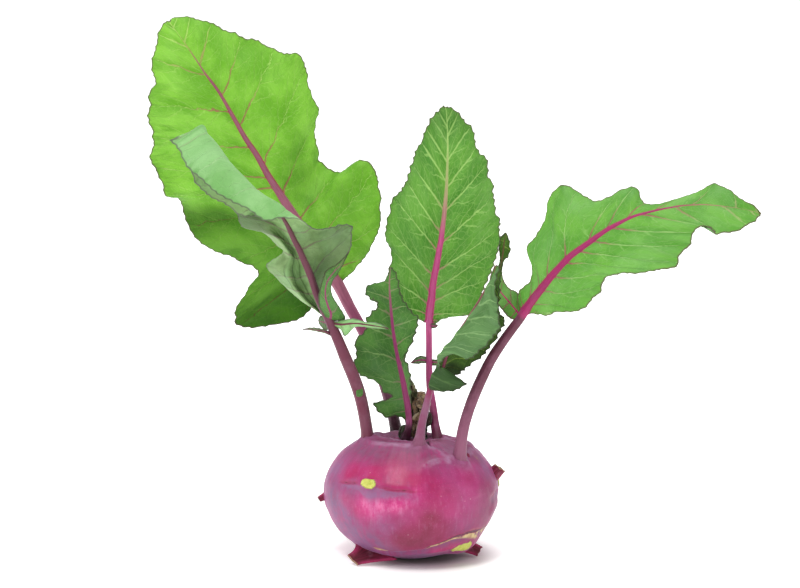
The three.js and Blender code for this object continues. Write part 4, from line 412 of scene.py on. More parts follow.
def leaf_material(name, up1, up2, under1, under2, vein, vein_under, rib, rib_under=None, rough=0.5, red=0.55, redlen=18.0, net=1.0, wax=0.0,
                  waxcol=lin(150, 190, 146), sheen=0.03, edge=lin(92, 66, 62), shade=(0.16, 0.24, 0.05, 1), spread=6.2, wax_up=1.0):
    """Leaf tissue. Attributes: w (signed mm from the midrib), s (mm along it), ph and gap (lateral phase and mm per
    phase), ed (mm to the margin), top (1 on the upper side), painted_light (painted shade: 0 darkens the colour fully
    towards the shade colour .. 1 leaves it as it is), ribw (half width of the midrib, mm), rc (0..1 how red it is)."""
    g = Nodes(name)
    w, s, ph, gap, ed, top, painted_light, ribw, rc = (g.attr(k) for k in ("w", "s", "ph", "gap", "ed", "top", "painted_light", "ribw", "rc"))
    aw = g.math("ABSOLUTE", w)
    flat = g.vec(g.mul(w, 1.0), g.mul(s, 1.0), g.mul(top, 3.0))
    warp = g.noise(flat, 0.22, 2.0, 0.6, color=True)
    # laterals, thick by the midrib and thin by the margin
    wob = g.mul(g.sub(g.noise(flat, 0.17, 3.0, 0.6), 0.5), 0.26)
    p = g.add(ph, wob)
    k = g.math("FLOOR", g.add(p, 0.5))
    sd = g.sub(p, k)
    asd = g.math("ABSOLUTE", sd)
    d = g.mul(asd, gap)
    reach = g.smooth(ed, 0.4, 6.0)
    wid = g.mul(g.add(0.11, g.mul(g.smooth(aw, 24.0, 1.5), 0.24)), g.add(0.4, g.mul(reach, 0.6)))
    lat = g.smooth(g.math("DIVIDE", d, wid), 2.0, 0.6)
    # branches leave each lateral outwards on both sides and meet half way to the next one
    wn = g.t.nodes.new("ShaderNodeTexWhiteNoise")
    wn.noise_dimensions = "1D"
    g.put(wn.inputs["W"], g.add(g.mul(k, 3.17), g.add(g.mul(g.math("SIGN", w), 11.3), g.mul(g.math("GREATER_THAN", sd, 0.0), 5.71))))
    hsh = wn.outputs["Value"]
    wob2 = g.mul(g.sub(g.noise(flat, 0.15, 3.0, 0.55), 0.5), 0.50)
    q = g.add(g.add(g.math("DIVIDE", g.sub(aw, g.mul(d, 1.5)), spread), g.mul(hsh, 7.0)), wob2)
    bq = g.mul(g.math("ABSOLUTE", g.sub(g.math("FRACT", q), 0.5)), spread * 0.555)
    bw = g.add(0.09, g.mul(g.smooth(asd, 0.45, 0.0), 0.11))
    br = g.mul(g.smooth(g.math("DIVIDE", bq, bw), 1.8, 0.5), g.smooth(asd, 0.50, 0.44))
    br = g.mul(br, g.mul(g.smooth(g.noise(flat, 0.11, 2.0, 0.5), 0.18, 0.44), reach))
    # the finest net
    v2 = g.voronoi(g.vadd(flat, warp, 1.6), 0.40)
    n2 = g.smooth(v2, 0.085, 0.01)
    v3 = g.voronoi(g.vadd(flat, warp, 0.8), 1.25)
    n3 = g.smooth(v3, 0.14, 0.02)
    dark = g.smooth(g.noise(flat, 0.075, 4.0, 0.55), 0.36, 0.66)
    fine = g.noise(flat, 1.3, 4.0, 0.7)
    # a slightly deeper green along the veins, paler between them
    isl = g.mul(g.smooth(g.math("DIVIDE", d, g.add(gap, 0.01)), 0.0, 0.4), 0.35)
    # upper side
    up = g.mix(g.math("MINIMUM", g.add(g.mul(dark, 0.8), g.mul(isl, 0.5)), 1.0), up1, up2)
    up = g.mix(g.mul(g.smooth(fine, 0.35, 0.75), 0.16), up, g.mix(0.45, up, (0.0, 0.0, 0.0, 1)))
    up = g.mix(g.mul(n3, 0.07 * net), up, vein)
    up = g.mix(g.mul(n2, 0.24 * net), up, vein)
    up = g.mix(g.mul(br, 0.46 * net), up, vein)
    # the laterals also turn red where the painted shade is deep
    reds = g.maxi(g.mul(g.smooth(aw, redlen, redlen * 0.25), g.mul(rc, rc)), g.mul(g.smooth(painted_light, 0.5, 0.15), 0.9))
    lc = g.mix(g.mul(reds, red), vein, rib)
    up = g.mix(g.mul(lat, 0.72), up, lc)
    # lower side
    un = g.mix(dark, under1, under2)
    un = g.mix(g.mul(g.smooth(fine, 0.4, 0.8), 0.14), un, g.mix(0.4, un, (0, 0, 0, 1)))
    un = g.mix(g.mul(n2, 0.14 * net), un, vein_under)
    un = g.mix(g.mul(br, 0.5 * net), un, vein_under)
    ru = rib_under if rib_under is not None else rib
    un = g.mix(g.mul(lat, 0.62), un, g.mix(g.mul(g.smooth(aw, redlen * 0.9, redlen * 0.2), red * 0.75), vein_under, ru))
    col = g.mix(top, un, up)
    # wax, painted shade, margin line, midrib
    waxm = g.mul(g.smooth(g.noise(g.vadd(flat, warp, 6.0), 0.055, 3.0, 0.55), 0.40, 0.74), wax)
    waxm = g.mul(waxm, g.add(1.0, g.mul(top, wax_up - 1.0)))
    col = g.mix(waxm, col, waxcol)
    # painted shade: the colour is multiplied towards the shade colour where the painted-light factor is low
    col = g.mix(1.0, col, g.mix(painted_light, shade, (1.0, 1.0, 1.0, 1)), "MULTIPLY")
    edw = g.add(0.25, g.mul(g.noise(flat, 0.25, 2.0, 0.6), 0.7))
    col = g.mix(g.mul(g.smooth(ed, g.add(edw, 0.25), g.mul(edw, 0.4)), 0.72), col, edge)
    band = g.smooth(g.math("DIVIDE", aw, g.maxi(ribw, 0.05)), 1.15, 0.85)
    ribc = g.mix(rc, g.mix(top, vein_under, vein), g.mix(top, ru, rib))
    col = g.mix(g.mul(band, 0.94), col, ribc)
    g.set("Base Color", col)
    g.set("Roughness", g.add(rough - 0.08, g.mul(fine, 0.2)))
    g.set("Specular IOR Level", 0.18)
    g.set("Sheen Weight", sheen)
    g.set("Sheen Roughness", 0.5)
    g.set("Sheen Tint", (0.86, 0.95, 0.88, 1))
    h = g.add(g.mul(lat, -0.5), g.add(g.mul(br, -0.34), g.add(g.mul(n2, -0.20), g.mul(fine, 0.10))))
    h = g.mul(h, g.sub(g.mul(top, 2.0), 1.0))
    g.set("Normal", g.bump(h, 0.0005, 0.75))
    return g.mat

def stalk_material(name, foot, low, mid, high, bloom, bloom_amount=0.5, rough=0.42, pale=lin(150, 190, 90), painted_shade_side=0.35, high_from=0.7):
    """Leaf stalk. Attributes: u (0 at the foot .. 1 at the blade), ca and sa (place round the stalk), s (mm along),
    inb (0..1 along the blade), rc (0..1 how red it is there)."""
    g = Nodes(name)
    u, ca, sa, s, inb, rc = (g.attr(k) for k in ("u", "ca", "sa", "s", "inb", "rc"))
    round_ = g.vec(ca, sa, g.mul(s, 0.05))
    streak = g.noise(round_, 3.2, 4.0, 0.65)
    patch = g.noise(g.obj(), 90.0, 3.0, 0.6)
    col = g.mix(g.smooth(u, 0.0, 0.10), foot, low)
    col = g.mix(g.smooth(u, 0.08, 0.55), col, mid)
    col = g.mix(g.smooth(u, high_from, 1.0), col, high)
    col = g.mix(g.mul(g.smooth(streak, 0.42, 0.7), 0.5), col, g.mix(0.55, col, foot))
    # painted shade: the stalk's lower side, away from the blade's upper face, is darkened towards the foot colour
    col = g.mix(g.mul(g.smooth(ca, 0.1, -0.9), painted_shade_side), col, foot)
    bl = g.mul(g.smooth(patch, 0.40, 0.68), g.mul(g.smooth(u, 0.02, 0.2), bloom_amount))
    col = g.mix(g.mul(bl, g.smooth(inb, 0.25, 0.0)), col, bloom)
    col = g.mix(rc, pale, col)
    g.set("Base Color", col)
    g.set("Roughness", g.add(rough - 0.06, g.mul(patch, 0.18)))
    g.set("Specular IOR Level", 0.32)
    g.set("Sheen Weight", 0.06)
    g.set("Sheen Roughness", 0.45)
    g.set("Sheen Tint", (0.80, 0.78, 0.95, 1))
    fine = g.noise(g.vec(g.mul(ca, 3.0), g.mul(sa, 3.0), g.mul(s, 0.06)), 4.0, 3.0, 0.6)
    g.set("Normal", g.bump(g.add(g.mul(fine, 0.7), g.mul(patch, 0.3)), 0.0005, 0.5))
    return g.mat

# ---------------------------------------------------------------- leaves
UNDER = {"blade_front_left": -1}
LOOK = {  # mesh step, steps per half, thickness, quilting, ruffle, small teeth (all mm), midrib half width at the base
  "blade_back_left": dict(res=0.85, half=62, th=0.55, quilt=0.75, ruffle=0.9, teeth=0.6, rib=2.6, a_end=17.6),
  "blade_front_left": dict(res=0.75, half=46, th=0.55, quilt=0.55, ruffle=0.5, teeth=0.6, rib=1.9, a_end=22.5),
  "blade_centre_left": dict(res=0.6, half=30, th=0.5, quilt=0.45, ruffle=0.4, teeth=0.95, rib=1.15, a_end=17.0),
  "blade_back": dict(res=0.65, half=46, th=0.55, quilt=0.5, ruffle=0.5, teeth=1.0, rib=1.35, a_end=12.7),
  "blade_front": dict(res=0.6, half=30, th=0.5, quilt=0.4, ruffle=0.4, teeth=1.05, rib=1.25, a_end=19.4),
  "blade_right": dict(res=0.75, half=40, th=0.55, quilt=0.6, ruffle=0.5, teeth=0.45, rib=1.9, a_end=21.5),
}
# Half width of the midrib (mm) by station, and how red it is (1 red .. 0 green) by station.
RIBW = {
  "blade_back_left": [(0, 2.75), (5, 2.45), (9.5, 2.1), (11, 1.8), (13, 1.4), (14.6, 1.05), (15.7, 0.8), (16.7, 0.52), (17.3, 0.34), (18.5, 0.16), (20, 0.08)],
  "blade_front_left": [(0, 2.1), (2, 1.85), (4, 1.6), (7, 1.3), (11, 1.0), (13, 0.85), (16, 0.6), (20, 0.35), (22.5, 0.12)],
  "blade_centre_left": [(0, 1.7), (4, 1.5), (8, 1.15), (11, 0.9), (14, 0.6), (17, 0.25), (18, 0.1)],
  "blade_back": [(0, 2.2), (3, 2.1), (5, 1.75), (6, 1.6), (7.3, 1.35), (8.5, 1.0), (9.5, 0.75), (10.5, 0.5), (12, 0.35), (13, 0.12)],
  "blade_front": [(0, 1.4), (4, 1.15), (8, 0.95), (12, 0.7), (16, 0.4), (19.4, 0.15), (20, 0.1)],
  "blade_right": [(0, 2.35), (4, 2.15), (7, 1.85), (9, 1.7), (11.5, 1.4), (13.5, 1.1), (15.5, 0.8), (17, 0.55), (19, 0.36), (21.5, 0.15), (22, 0.1)],
}
RIBRED = {
  "blade_back_left": [(0, 1), (15.5, 1), (17, 0.75), (18.5, 0.15)],
  "blade_front_left": [(0, 1), (24, 0.8)],
  "blade_centre_left": [(0, 1), (12, 1), (18, 0.6)],
  "blade_back": [(0, 1), (7.0, 1), (8.2, 0.62), (9.2, 0.32), (11, 0.06)],
  "blade_front": [(0, 1), (20, 0.8)],
  "blade_right": [(0, 1), (17, 1), (19, 0.7), (22, 0.5)],
}
SMALL = dict(res=0.5, half=12, th=0.5, quilt=0.18, ruffle=0.15, teeth=0.2, rib=0.5, a_end=99)
ribs = {}

def blade_frame(name, extra=0.0):
    """Dense grid of a blade: stations a, points P (na, 2h+1, 3), normals towards the lower side, and its measures."""
    b = BLADES[name]
    L = LOOK.get(name, SMALL)
    n = len(b["rows"])
    rows = np.array(b["rows"], float).reshape(n, -1, 3)
    nl, nr = b["left"], b["right"]
    tab = np.linspace(0, n - 1, (n - 1) * 16 + 1)
    q = cr(rows, tab)
    step = lambda k: np.linalg.norm(np.diff(q[:, k], axis=0), axis=1)
    cum = np.concatenate([[0], np.cumsum(0.5 * step(0) + 0.25 * step(nl) + 0.25 * step(nl + nr))])
    na = max(8, int(round(cum[-1] / L["res"])))
    a = np.interp(np.linspace(0, cum[-1], na + 1), cum, tab)
    q = cr(rows, a)
    h = L["half"]
    tt = np.linspace(0, 1, h + 1)
    left = cr(np.concatenate([q[:, :1], q[:, 1:1 + nl]], 1).transpose(1, 0, 2), tt * nl)
    right = cr(np.concatenate([q[:, :1], q[:, 1 + nl:]], 1).transpose(1, 0, 2), tt * nr)
    P = np.concatenate([left[::-1], right[1:]]).transpose(1, 0, 2)
    t = np.concatenate([-tt[::-1], tt[1:]])
    und = UNDER.get(name, 1)
    # margins: the measured departures of the edge from its smooth line, then small teeth
    for side, edge, inner in (("left", 0, max(1, h // 6)), ("right", 2 * h, 2 * h - max(1, h // 6))):
        E = P[:, edge]
        tang = unit(np.gradient(E, axis=0))
        out = E - P[:, inner]
        out = unit(out - (out * tang).sum(1, keepdims=True) * tang)
        arc = np.concatenate([[0], np.cumsum(np.linalg.norm(np.diff(E, axis=0), axis=1))])
        m = MARGINS.get((name, side))
        delta = np.zeros(len(a))
        if m is not None:
            delta = np.interp(a, np.arange(len(m)) * 0.25, m)
            k = np.array([0.25, 0.5, 0.25])
            delta = np.convolve(np.pad(delta, 1, mode="edge"), k, "valid")
        wide = smooth(np.abs(t), 0.5, 1.0) * (t < 0 if side == "left" else t > 0)
        P = P + (out * delta[:, None])[:, None, :] * wide[None, :, None]
        seed = sum(map(ord, name + side)) % 97
        jit = vnoise(np.stack([arc, arc * 0, arc * 0 + seed], 1), 7.0, seed) * 1.6
        saw = ((arc + jit) / (4.0 if L is not SMALL else 2.6)) % 1.0
        tooth = (np.where(saw < 0.72, saw / 0.72, (1 - saw) / 0.28) ** 1.6 - 0.35) * L["teeth"]
        scallop = vnoise(np.stack([arc, arc * 0, arc * 0 + 9 + seed], 1), 5.0 if m is not None else 8.0, seed + 3) * (0.25 if m is not None else 0.9) * (1 if L is not SMALL else 0.35)
        ends = smooth(arc, 0.5, 6.0 if L is not SMALL else 3.0) * smooth(arc[-1] - arc, 0.3, 3.0)
        near = smooth(np.abs(t), 0.86, 1.0) * (t < 0 if side == "left" else t > 0)
        P = P + (out * ((tooth + scallop) * ends)[:, None])[:, None, :] * near[None, :, None]
    Pa = np.gradient(P, axis=0)
    Pt = np.gradient(P, axis=1)
    N = np.cross(Pa, Pt) * und
    for _ in range(3):  # narrow ends take their direction from the rows beside them
        weak = np.linalg.norm(N, axis=2) < 0.02
        if not weak.any():
            break
        Nm = N.mean(1, keepdims=True)
        N = np.where(weak[..., None], Nm * 1e-2 + 1e-9, N)
    N = unit(N)
    return b, L, a, t, P, N, Pa, Pt, und

ARCH = {"blade_back": 1.6, "blade_centre_left": 1.45, "blade_right": 1.35}      # how strongly the laterals bend towards the tip

def lateral_phase(name, a, t):
    vl, vr = VEINS[name]
    ph = np.zeros((len(a), len(t)))
    for j, tj in enumerate(t):
        v = vl if tj < 0 else vr
        f = abs(tj) ** ARCH.get(name, 1.25)
        pos = np.array([s + (e - s) * f for s, e in v])
        pos = np.maximum.accumulate(pos + np.arange(len(pos)) * 1e-4)
        pos = np.concatenate([[pos[0] - 1.6], pos, [pos[-1] + 1.4]])
        ph[:, j] = np.interp(a, pos, np.arange(len(pos)))
    return ph

def nearest(points, line):
    from mathutils.kdtree import KDTree
    kd = KDTree(len(line))
    for i, p in enumerate(line):
        kd.insert(p, i)
    kd.balance()
    return np.array([kd.find(p)[1] for p in points])

def make_blade(name, mat, painted_light=None, waves=(), swap=False):
    b, L, a, t, P, N, Pa, Pt, und = blade_frame(name)
    na, nt = P.shape[:2]
    h = L["half"]
    mid = P[:, h]
    marc = np.concatenate([[0], np.cumsum(np.linalg.norm(np.diff(mid, axis=0), axis=1))])
    seg = np.linalg.norm(np.diff(P, axis=1), axis=2)
    r = np.zeros((na, nt))
    r[:, h + 1:] = np.cumsum(seg[:, h:], axis=1)
    r[:, :h] = np.cumsum(seg[:, :h][:, ::-1], axis=1)[:, ::-1]
    cosang = (unit(Pt) * unit(Pa)).sum(2)
    sinang = np.sqrt(np.clip(1 - cosang ** 2, 0.02, 1))
    ph = lateral_phase(name, a, t)
    dpa = np.abs(np.gradient(ph, axis=0)) / (np.linalg.norm(Pa, axis=2) + 1e-6)
    gap = np.clip(sinang / (dpa + 1e-3), 0.5, 26)
    fr = np.abs(ph - np.round(ph))
    d = fr * gap
    # a smooth sheet, then quilting between the laterals, ruffles along the margin and fine unevenness
    ed_row = np.minimum(r[:, :1] - r, 1e9) * (t < 0) + np.minimum(r[:, -1:] - r, 1e9) * (t >= 0)
    inner = smooth(r, 1.0, 7.0) * smooth(ed_row, 0.0, 5.0)
    tipf = smooth(marc, 0, 10)[:, None] * smooth(marc[-1] - marc, 0, 8)[:, None]
    Hh = L["quilt"] * (1 - np.exp(-(d / (0.26 * gap + 0.4)) ** 2)) * inner * tipf * (0.65 + 0.5 * vnoise(P, 14, 5))
    Hh = Hh - 0.22 * np.exp(-(d / 0.95) ** 2) * smooth(r, 1.0, 4.0) * smooth(ed_row, 0, 3) * tipf
    body = smooth(marc, 0, 8)[:, None]
    Hh = Hh + 0.55 * fbm(P, 20, 2, 11) * body * smooth(r, 0, 12) + 0.16 * fbm(P, 4.5, 2, 23) * body
    side_arc = np.where(t < 0, 1, -1)[None, :] * marc[:, None]
    ruf = vnoise(np.stack([P[..., 0], P[..., 1] * 0.3, P[..., 2]], -1), 11.0, 41 + len(name))
    Hh = Hh + L["ruffle"] * ruf * smooth(np.abs(t), 0.55, 1.0)[None, :] * body
    for (side, a0, a1, amp, cyc, start) in waves:   # traced folds: extra waves on part of a margin
        m = (t < 0) if side == "left" else (t > 0)
        win = smooth(a, a0, a0 + 0.25 * (a1 - a0)) * smooth(-a, -a1, -a1 + 0.25 * (a1 - a0))
        Hh = Hh + (amp * np.sin((a - a0) / (a1 - a0) * cyc * 2 * np.pi) * win)[:, None] * (smooth(np.abs(t), start, 1.0) * m)[None, :]
    Q = P - N * Hh[..., None]
    # smooth normals of the finished sheet
    Nn = unit(np.cross(np.gradient(Q, axis=0), np.gradient(Q, axis=1)) * und + 1e-9 * N)
    bad = (Nn * N).sum(2) < 0.2
    Nn = np.where(bad[..., None], N, Nn)
    th = L["th"] * (0.55 + 0.45 * smooth(ed_row, 0.0, 2.5))
    top = Q - Nn * (th / 2)[..., None]
    bot = Q + Nn * (th / 2)[..., None]
    # boundary loop and its rounded rim
    ii = [(0, j) for j in range(nt)] + [(i, nt - 1) for i in range(1, na)] + [(na - 1, j) for j in range(nt - 2, -1, -1)] + [(i, 0) for i in range(na - 2, 0, -1)]
    I = np.array([x[0] for x in ii]); J = np.array([x[1] for x in ii])
    loop = Q[I, J]
    tang = unit(np.roll(loop, -1, 0) - np.roll(loop, 1, 0))
    outv = unit(np.cross(tang, Nn[I, J]))
    centre_in = unit(Q[np.clip(I, 1, na - 2), np.clip(J, 1, nt - 2)] - loop)
    flip = np.sign((outv * centre_in).sum(1)); flip[flip == 0] = 1
    outv = -outv * flip[:, None]
    rim = loop + outv * (th[I, J] * 0.34)[:, None]
    V = np.concatenate([top.reshape(-1, 3), bot.reshape(-1, 3), rim])
    nv = na * nt
    idx = np.arange(nv).reshape(na, nt)
    A, B, C_, D = idx[:-1, :-1].ravel(), idx[:-1, 1:].ravel(), idx[1:, 1:].ravel(), idx[1:, :-1].ravel()
    if und > 0:
        ft = np.stack([A, B, C_, D], 1); fb = np.stack([A, D, C_, B], 1) + nv
    else:
        ft = np.stack([A, D, C_, B], 1); fb = np.stack([A, B, C_, D], 1) + nv
    lt = idx[I, J]; n_l = len(lt); k = np.arange(n_l); k2 = (k + 1) % n_l
    rm = 2 * nv + k
    s1 = np.stack([lt[k], rm[k], rm[k2], lt[k2]], 1)
    s2 = np.stack([rm[k], lt[k] + nv, lt[k2] + nv, rm[k2]], 1)
    if und < 0:
        s1, s2 = s1[:, ::-1], s2[:, ::-1]
    faces = np.concatenate([ft, fb, s1, s2]).tolist()
    # measures for the material
    ed = np.linalg.norm(Q.reshape(-1, 3) - loop[nearest(Q.reshape(-1, 3), loop)], axis=1).reshape(na, nt)
    mi = nearest(Q.reshape(-1, 3), mid)
    wabs = np.linalg.norm(P.reshape(-1, 3) - mid[mi], axis=1).reshape(na, nt)
    w = wabs * np.sign(t)[None, :]
    s = marc[:, None] + r * cosang * 0.6
    a_end = min(L["a_end"], a[-1])
    frac = np.clip(a / a_end, 0, 1)
    rw = L["rib"] * (1 - frac) ** 0.8 * (0.35 + 0.65 * np.exp(-2.2 * frac)) / 1.0 + 0.12
    rcv = np.ones(na)
    if name in RIBW:
        rw = np.interp(a, *zip(*RIBW[name]))
        rcv = np.interp(a, *zip(*RIBRED[name]))
    ribs[name] = dict(a=a, mid=Q[:, h], N=Nn[:, h] if True else None, rw=rw, marc=marc, a_end=a_end, rib=L["rib"], P=P, h=h, rc=rcv)
    ribw = rw[mi].reshape(na, nt)
    rcm = rcv[mi].reshape(na, nt)
    # painted shade: the blade's painted-light function darkens its colour wherever it returns less than 1
    tn = np.ones((na, nt)) if painted_light is None else np.clip(painted_light(a[:, None], t[None, :], P), 0, 1) * np.ones((na, nt))
    pack = lambda x: np.concatenate([x.ravel(), x.ravel(), x[I, J]])
    topv = np.concatenate([np.ones(nv), np.zeros(nv), np.full(n_l, 0.5)])
    if swap:                                       # a leaflet that has turned over on its stalk
        topv = 1 - topv
    at = dict(w=pack(w), s=pack(s), ph=pack(ph), gap=pack(gap), ed=np.concatenate([ed.ravel(), ed.ravel(), np.zeros(n_l)]),
              top=topv, painted_light=pack(tn), ribw=pack(ribw), rc=pack(rcm))
    ob = make_mesh("leaf_" + name, V, faces, at, mat, weld=0.03)
    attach(ob, "root")
    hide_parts(name)
    return ob

# ---------------------------------------------------------------- stalks
def sweep(name, pts, rad, sides, section=None, attrs=None, mat=None, start_up=(0, -1, 0.3)):
    return make_mesh(name, *sweep_data(pts, rad, sides, section, attrs, start_up), mat)

def merge_data(parts):
    V, F, at, k = [], [], {}, 0
    for v, f, a in parts:
        V.append(v); F += [[x + k for x in q] for q in f]; k += len(v)
        for key, val in a.items():
            at.setdefault(key, []).append(val)
    return np.concatenate(V), F, {key: np.concatenate(v) for key, v in at.items()}

def sweep_data(pts, rad, sides, section=None, attrs=None, start_up=(0, -1, 0.3)):
    """A closed tube along pts (mm) with radii rad; section(theta, i) scales the radius."""
    pts = np.asarray(pts, float)
    n = len(pts)
    T = unit(np.gradient(pts, axis=0))
    up = np.array(start_up, float)
    U = []
    for i in range(n):
        up = up - (up @ T[i]) * T[i]
        up = up / np.linalg.norm(up)
        U.append(up)
    U = np.array(U)
    Wv = np.cross(T, U)
    th = np.linspace(0, 2 * np.pi, sides, endpoint=False)
    R = np.array(rad)[:, None] * (np.ones((n, sides)) if section is None else section(th[None, :], np.arange(n)[:, None]))
    V = pts[:, None] + R[..., None] * (np.cos(th)[None, :, None] * U[:, None] + np.sin(th)[None, :, None] * Wv[:, None])
    arc = np.concatenate([[0], np.cumsum(np.linalg.norm(np.diff(pts, axis=0), axis=1))])
    idx = np.arange(n * sides).reshape(n, sides)
    r2 = np.roll(idx, -1, 1)
    f = np.stack([idx[:-1].ravel(), r2[:-1].ravel(), r2[1:].ravel(), idx[1:].ravel()], 1).tolist()
    V = np.concatenate([V.reshape(-1, 3), pts[:1], pts[-1:] + T[-1:] * rad[-1] * 0.5])
    c0, c1 = n * sides, n * sides + 1
    for j in range(sides):
        j2 = (j + 1) % sides
        f.append([c0, idx[0, j2], idx[0, j]])
        f.append([c1, idx[-1, j], idx[-1, j2]])
    ext = lambda x: np.concatenate([np.repeat(x, sides), x[:1], x[-1:]])
    at = {k: ext(np.asarray(v, float)) for k, v in (attrs or {}).items()}
    at["ca"] = np.concatenate([np.tile(np.cos(th), n), [0, 0]])
    at["sa"] = np.concatenate([np.tile(np.sin(th), n), [0, 0]])
    at["s"] = ext(arc)
    return V, f, at

def resample(pts, step):
    pts = np.asarray(pts, float)
    tab = np.linspace(0, len(pts) - 1, (len(pts) - 1) * 20 + 1)
    q = cr(pts, tab)
    cum = np.concatenate([[0], np.cumsum(np.linalg.norm(np.diff(q[:, :3], axis=0), axis=1))])
    n = max(6, int(round(cum[-1] / step)))
    a = np.interp(np.linspace(0, cum[-1], n + 1), cum, tab)
    return cr(pts, a)

BUD_Z = 80.5
def make_stalk(name, blade, mat, foot=1.0):
    line = resample(PETIOLES[name][::-1], 0.8)          # foot to blade
    rb = ribs[blade]
    keep = rb["a"] <= rb["a_end"]
    path = list(line[:, :3]); rad = list(line[:, 3]); rcs = [1.0] * len(line)
    r_end = rad[-1]
    marc = rb["marc"]
    last = -1.0
    for i in np.where(keep)[0]:
        if marc[i] - last < 0.8 or marc[i] < 0.6:
            continue
        last = marc[i]
        f = rb["a"][i] / rb["a_end"]
        ease = smooth(marc[i], 0, 14)
        rr = r_end * (1 - ease) + max(rb["rw"][i] * 1.06, 0.2) * ease
        rr = min(rr, r_end)
        off = 0.42 * rr * ease
        path.append(rb["mid"][i] + rb["N"][i] * off); rad.append(rr); rcs.append(rb["rc"][i])
    path = np.array(path); rad = np.array(rad)
    for _ in range(6):   # even out the join
        path[1:-1] = 0.25 * path[:-2] + 0.5 * path[1:-1] + 0.25 * path[2:]
        rad[1:-1] = 0.25 * rad[:-2] + 0.5 * rad[1:-1] + 0.25 * rad[2:]
    n1 = len(line)
    arc = np.concatenate([[0], np.cumsum(np.linalg.norm(np.diff(path, axis=0), axis=1))])
    u = np.clip(arc / arc[n1 - 1], 0, 1)
    inb = np.clip((arc - arc[n1 - 1]) / (arc[-1] - arc[n1 - 1]), 0, 1)
    seed = sum(map(ord, name)) % 71
    p3 = path
    wob = 1 + 0.025 * vnoise(p3, 9, seed) + 0.012 * vnoise(p3, 2.5, seed + 1)
    rad = rad * wob
    up = -rb["N"][0]
    def section(th, i):
        uu = u[i]
        grooves = 0.030 * np.cos(5 * th + 0.6) + 0.022 * np.cos(9 * th + 1.7 + 0.004 * i)
        flatten = -0.10 * np.clip(np.cos(th), 0, 1) ** 3 * smooth(uu, 0.35, 1.0) * (1 - smooth(inb[i], 0.0, 0.3))
        footribs = 0.10 * np.cos(7 * th + seed) * (1 - smooth(arc[i], 1.0, 9.0))
        return 1 + grooves * (1 - smooth(inb[i], 0.3, 0.9)) + flatten + footribs * foot
    parts = [sweep_data(path, rad, 30, section, dict(u=u, inb=inb, rc=np.array(rcs)), up)]
    if name == "petiole_front_left":            # a scrap of leaf that grows on the stalk
        k = np.argmin(np.abs(line[:, 2] - BUD_Z))
        c = line[k, :3] + np.array([0.3, -line[k, 3] * 0.80, 0.0])
        bud = resample(np.array([[c[0] - 1.2, c[1] + 0.2, c[2] - 2.0, 0.3], [c[0] - 0.3, c[1] - 0.3, c[2] - 1.0, 1.5], [c[0] + 0.5, c[1] - 0.4, c[2] + 0.4, 1.7], [c[0] + 1.2, c[1] + 0.1, c[2] + 2.0, 0.35]]), 0.25)
        one = np.ones(len(bud))
        parts.append(sweep_data(bud[:, :3], bud[:, 3], 24, lambda th, i: (1 + 0.10 * np.cos(3 * th + 0.3 * i)) * np.sqrt(np.cos(th) ** 2 * 0.20 + np.sin(th) ** 2), dict(u=one, inb=0 * one, rc=0 * one), (0, -1, 0.1)))
    ob = make_mesh("stalk_" + name, *merge_data(parts), mat)
    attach(ob, "root")
    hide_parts(name)
    return ob

# ---------------------------------------------------------------- bulb
PROFILE = [[0, 0], [4, 0], [8.5, 0], [15.6, 1.5], [23.2, 4.6], [29.8, 8.9], [35.2, 14.2], [39.0, 20.6], [40.8, 28], [41, 33], [40.0, 38.2],
           [37.2, 43.4], [32.8, 48.8], [27.2, 53.2], [21.4, 56], [16, 57.4], [11, 56.9], [6.5, 55.6], [3, 54.5], [0, 54.2]]
FEET = {"A": (-7.1, 24.5, 2.9), "B": (-20.2, -4.5, 3.2), "C": (-1.7, 3.6, 1.8), "D": (12.8, 3.6, 2.6), "E": (3.8, -20.0, 3.4), "F": (22.6, -20.0, 3.3)}
CREASE_A = [[-34.0, -19.7, 39.6], [-29.9, -24.7, 40.4], [-26.2, -28.2, 41.0], [-22.6, -30.9, 41.4]]
CREASE_B = [[-16.2, -34.7, 41.3], [-11.8, -36.9, 40.6], [-7.7, -38.2, 40.1], [-3.3, -39.0, 39.9], [1.4, -39.3, 39.4], [5.9, -39.0, 39.3], [9.0, -37.3, 41.3]]
SCAR_A = [[-20.9, -31.9, 41.8], [-17.9, -33.6, 41.6]]
CREASE_C = [[36.6, -9.0, 18.6], [34.8, -13.0, 16.9], [32.3, -17.6, 16.2], [27.5, -24.7, 16.5], [23.5, -28.2, 16.0], [19.5, -30.5, 15.0], [15.5, -32.0, 13.7], [11.5, -32.0, 11.9], [8.9, -31.9, 10.7], [6.6, -31.3, 9.3], [-0.4, -30.9, 8.1], [-6.8, -29.3, 7.4], [-11.9, -27.5, 7.3], [-16.1, -26.6, 8.2]]
SCAR_C = [[24.6, -20.5, 10.5], [21.5, -22.6, 9.2]]
SLOTS = [([[6.3, -4.5, 57], [6.8, -10, 57], [7.6, -16, 56.5], [9.0, -20.5, 56]], 0.9), ([[-0.3, 1, 56], [-1.2, -6, 57], [-2.8, -13.5, 57]], 1.15)]
BUMPS = [([25.0, -16.0, 6.0], 3.2, 7.0)]
SHELF = CREASE_A + [[-19.4, -33.4, 39.4]] + CREASE_B[:6]
TAN_AT = [([11.8, -4.0, 56.5], 2.0, 0.85), ([8.8, -5.5, 56.5], 1.4, 0.6), ([-10, 19, 55], 4.5, 0.5), ([-2, 21, 55], 4.0, 0.5), ([30.5, -12, 49], 2.0, 0.4)]
PATCH = [[4.6, -40.1, 26.9], [7.4, -39.8, 26.1]]
SCRATCH = [[[-11.4, -39.1, 34.3], [-5.9, -40.5, 33.2]], [[-9.6, -39.8, 31.6], [-7.4, -40.2, 31.2]]]

def turned(line, deg, dz=0.0):
    c, s = math.cos(math.radians(deg)), math.sin(math.radians(deg))
    return [[x * c - y * s, x * s + y * c, z + dz] for x, y, z in line]

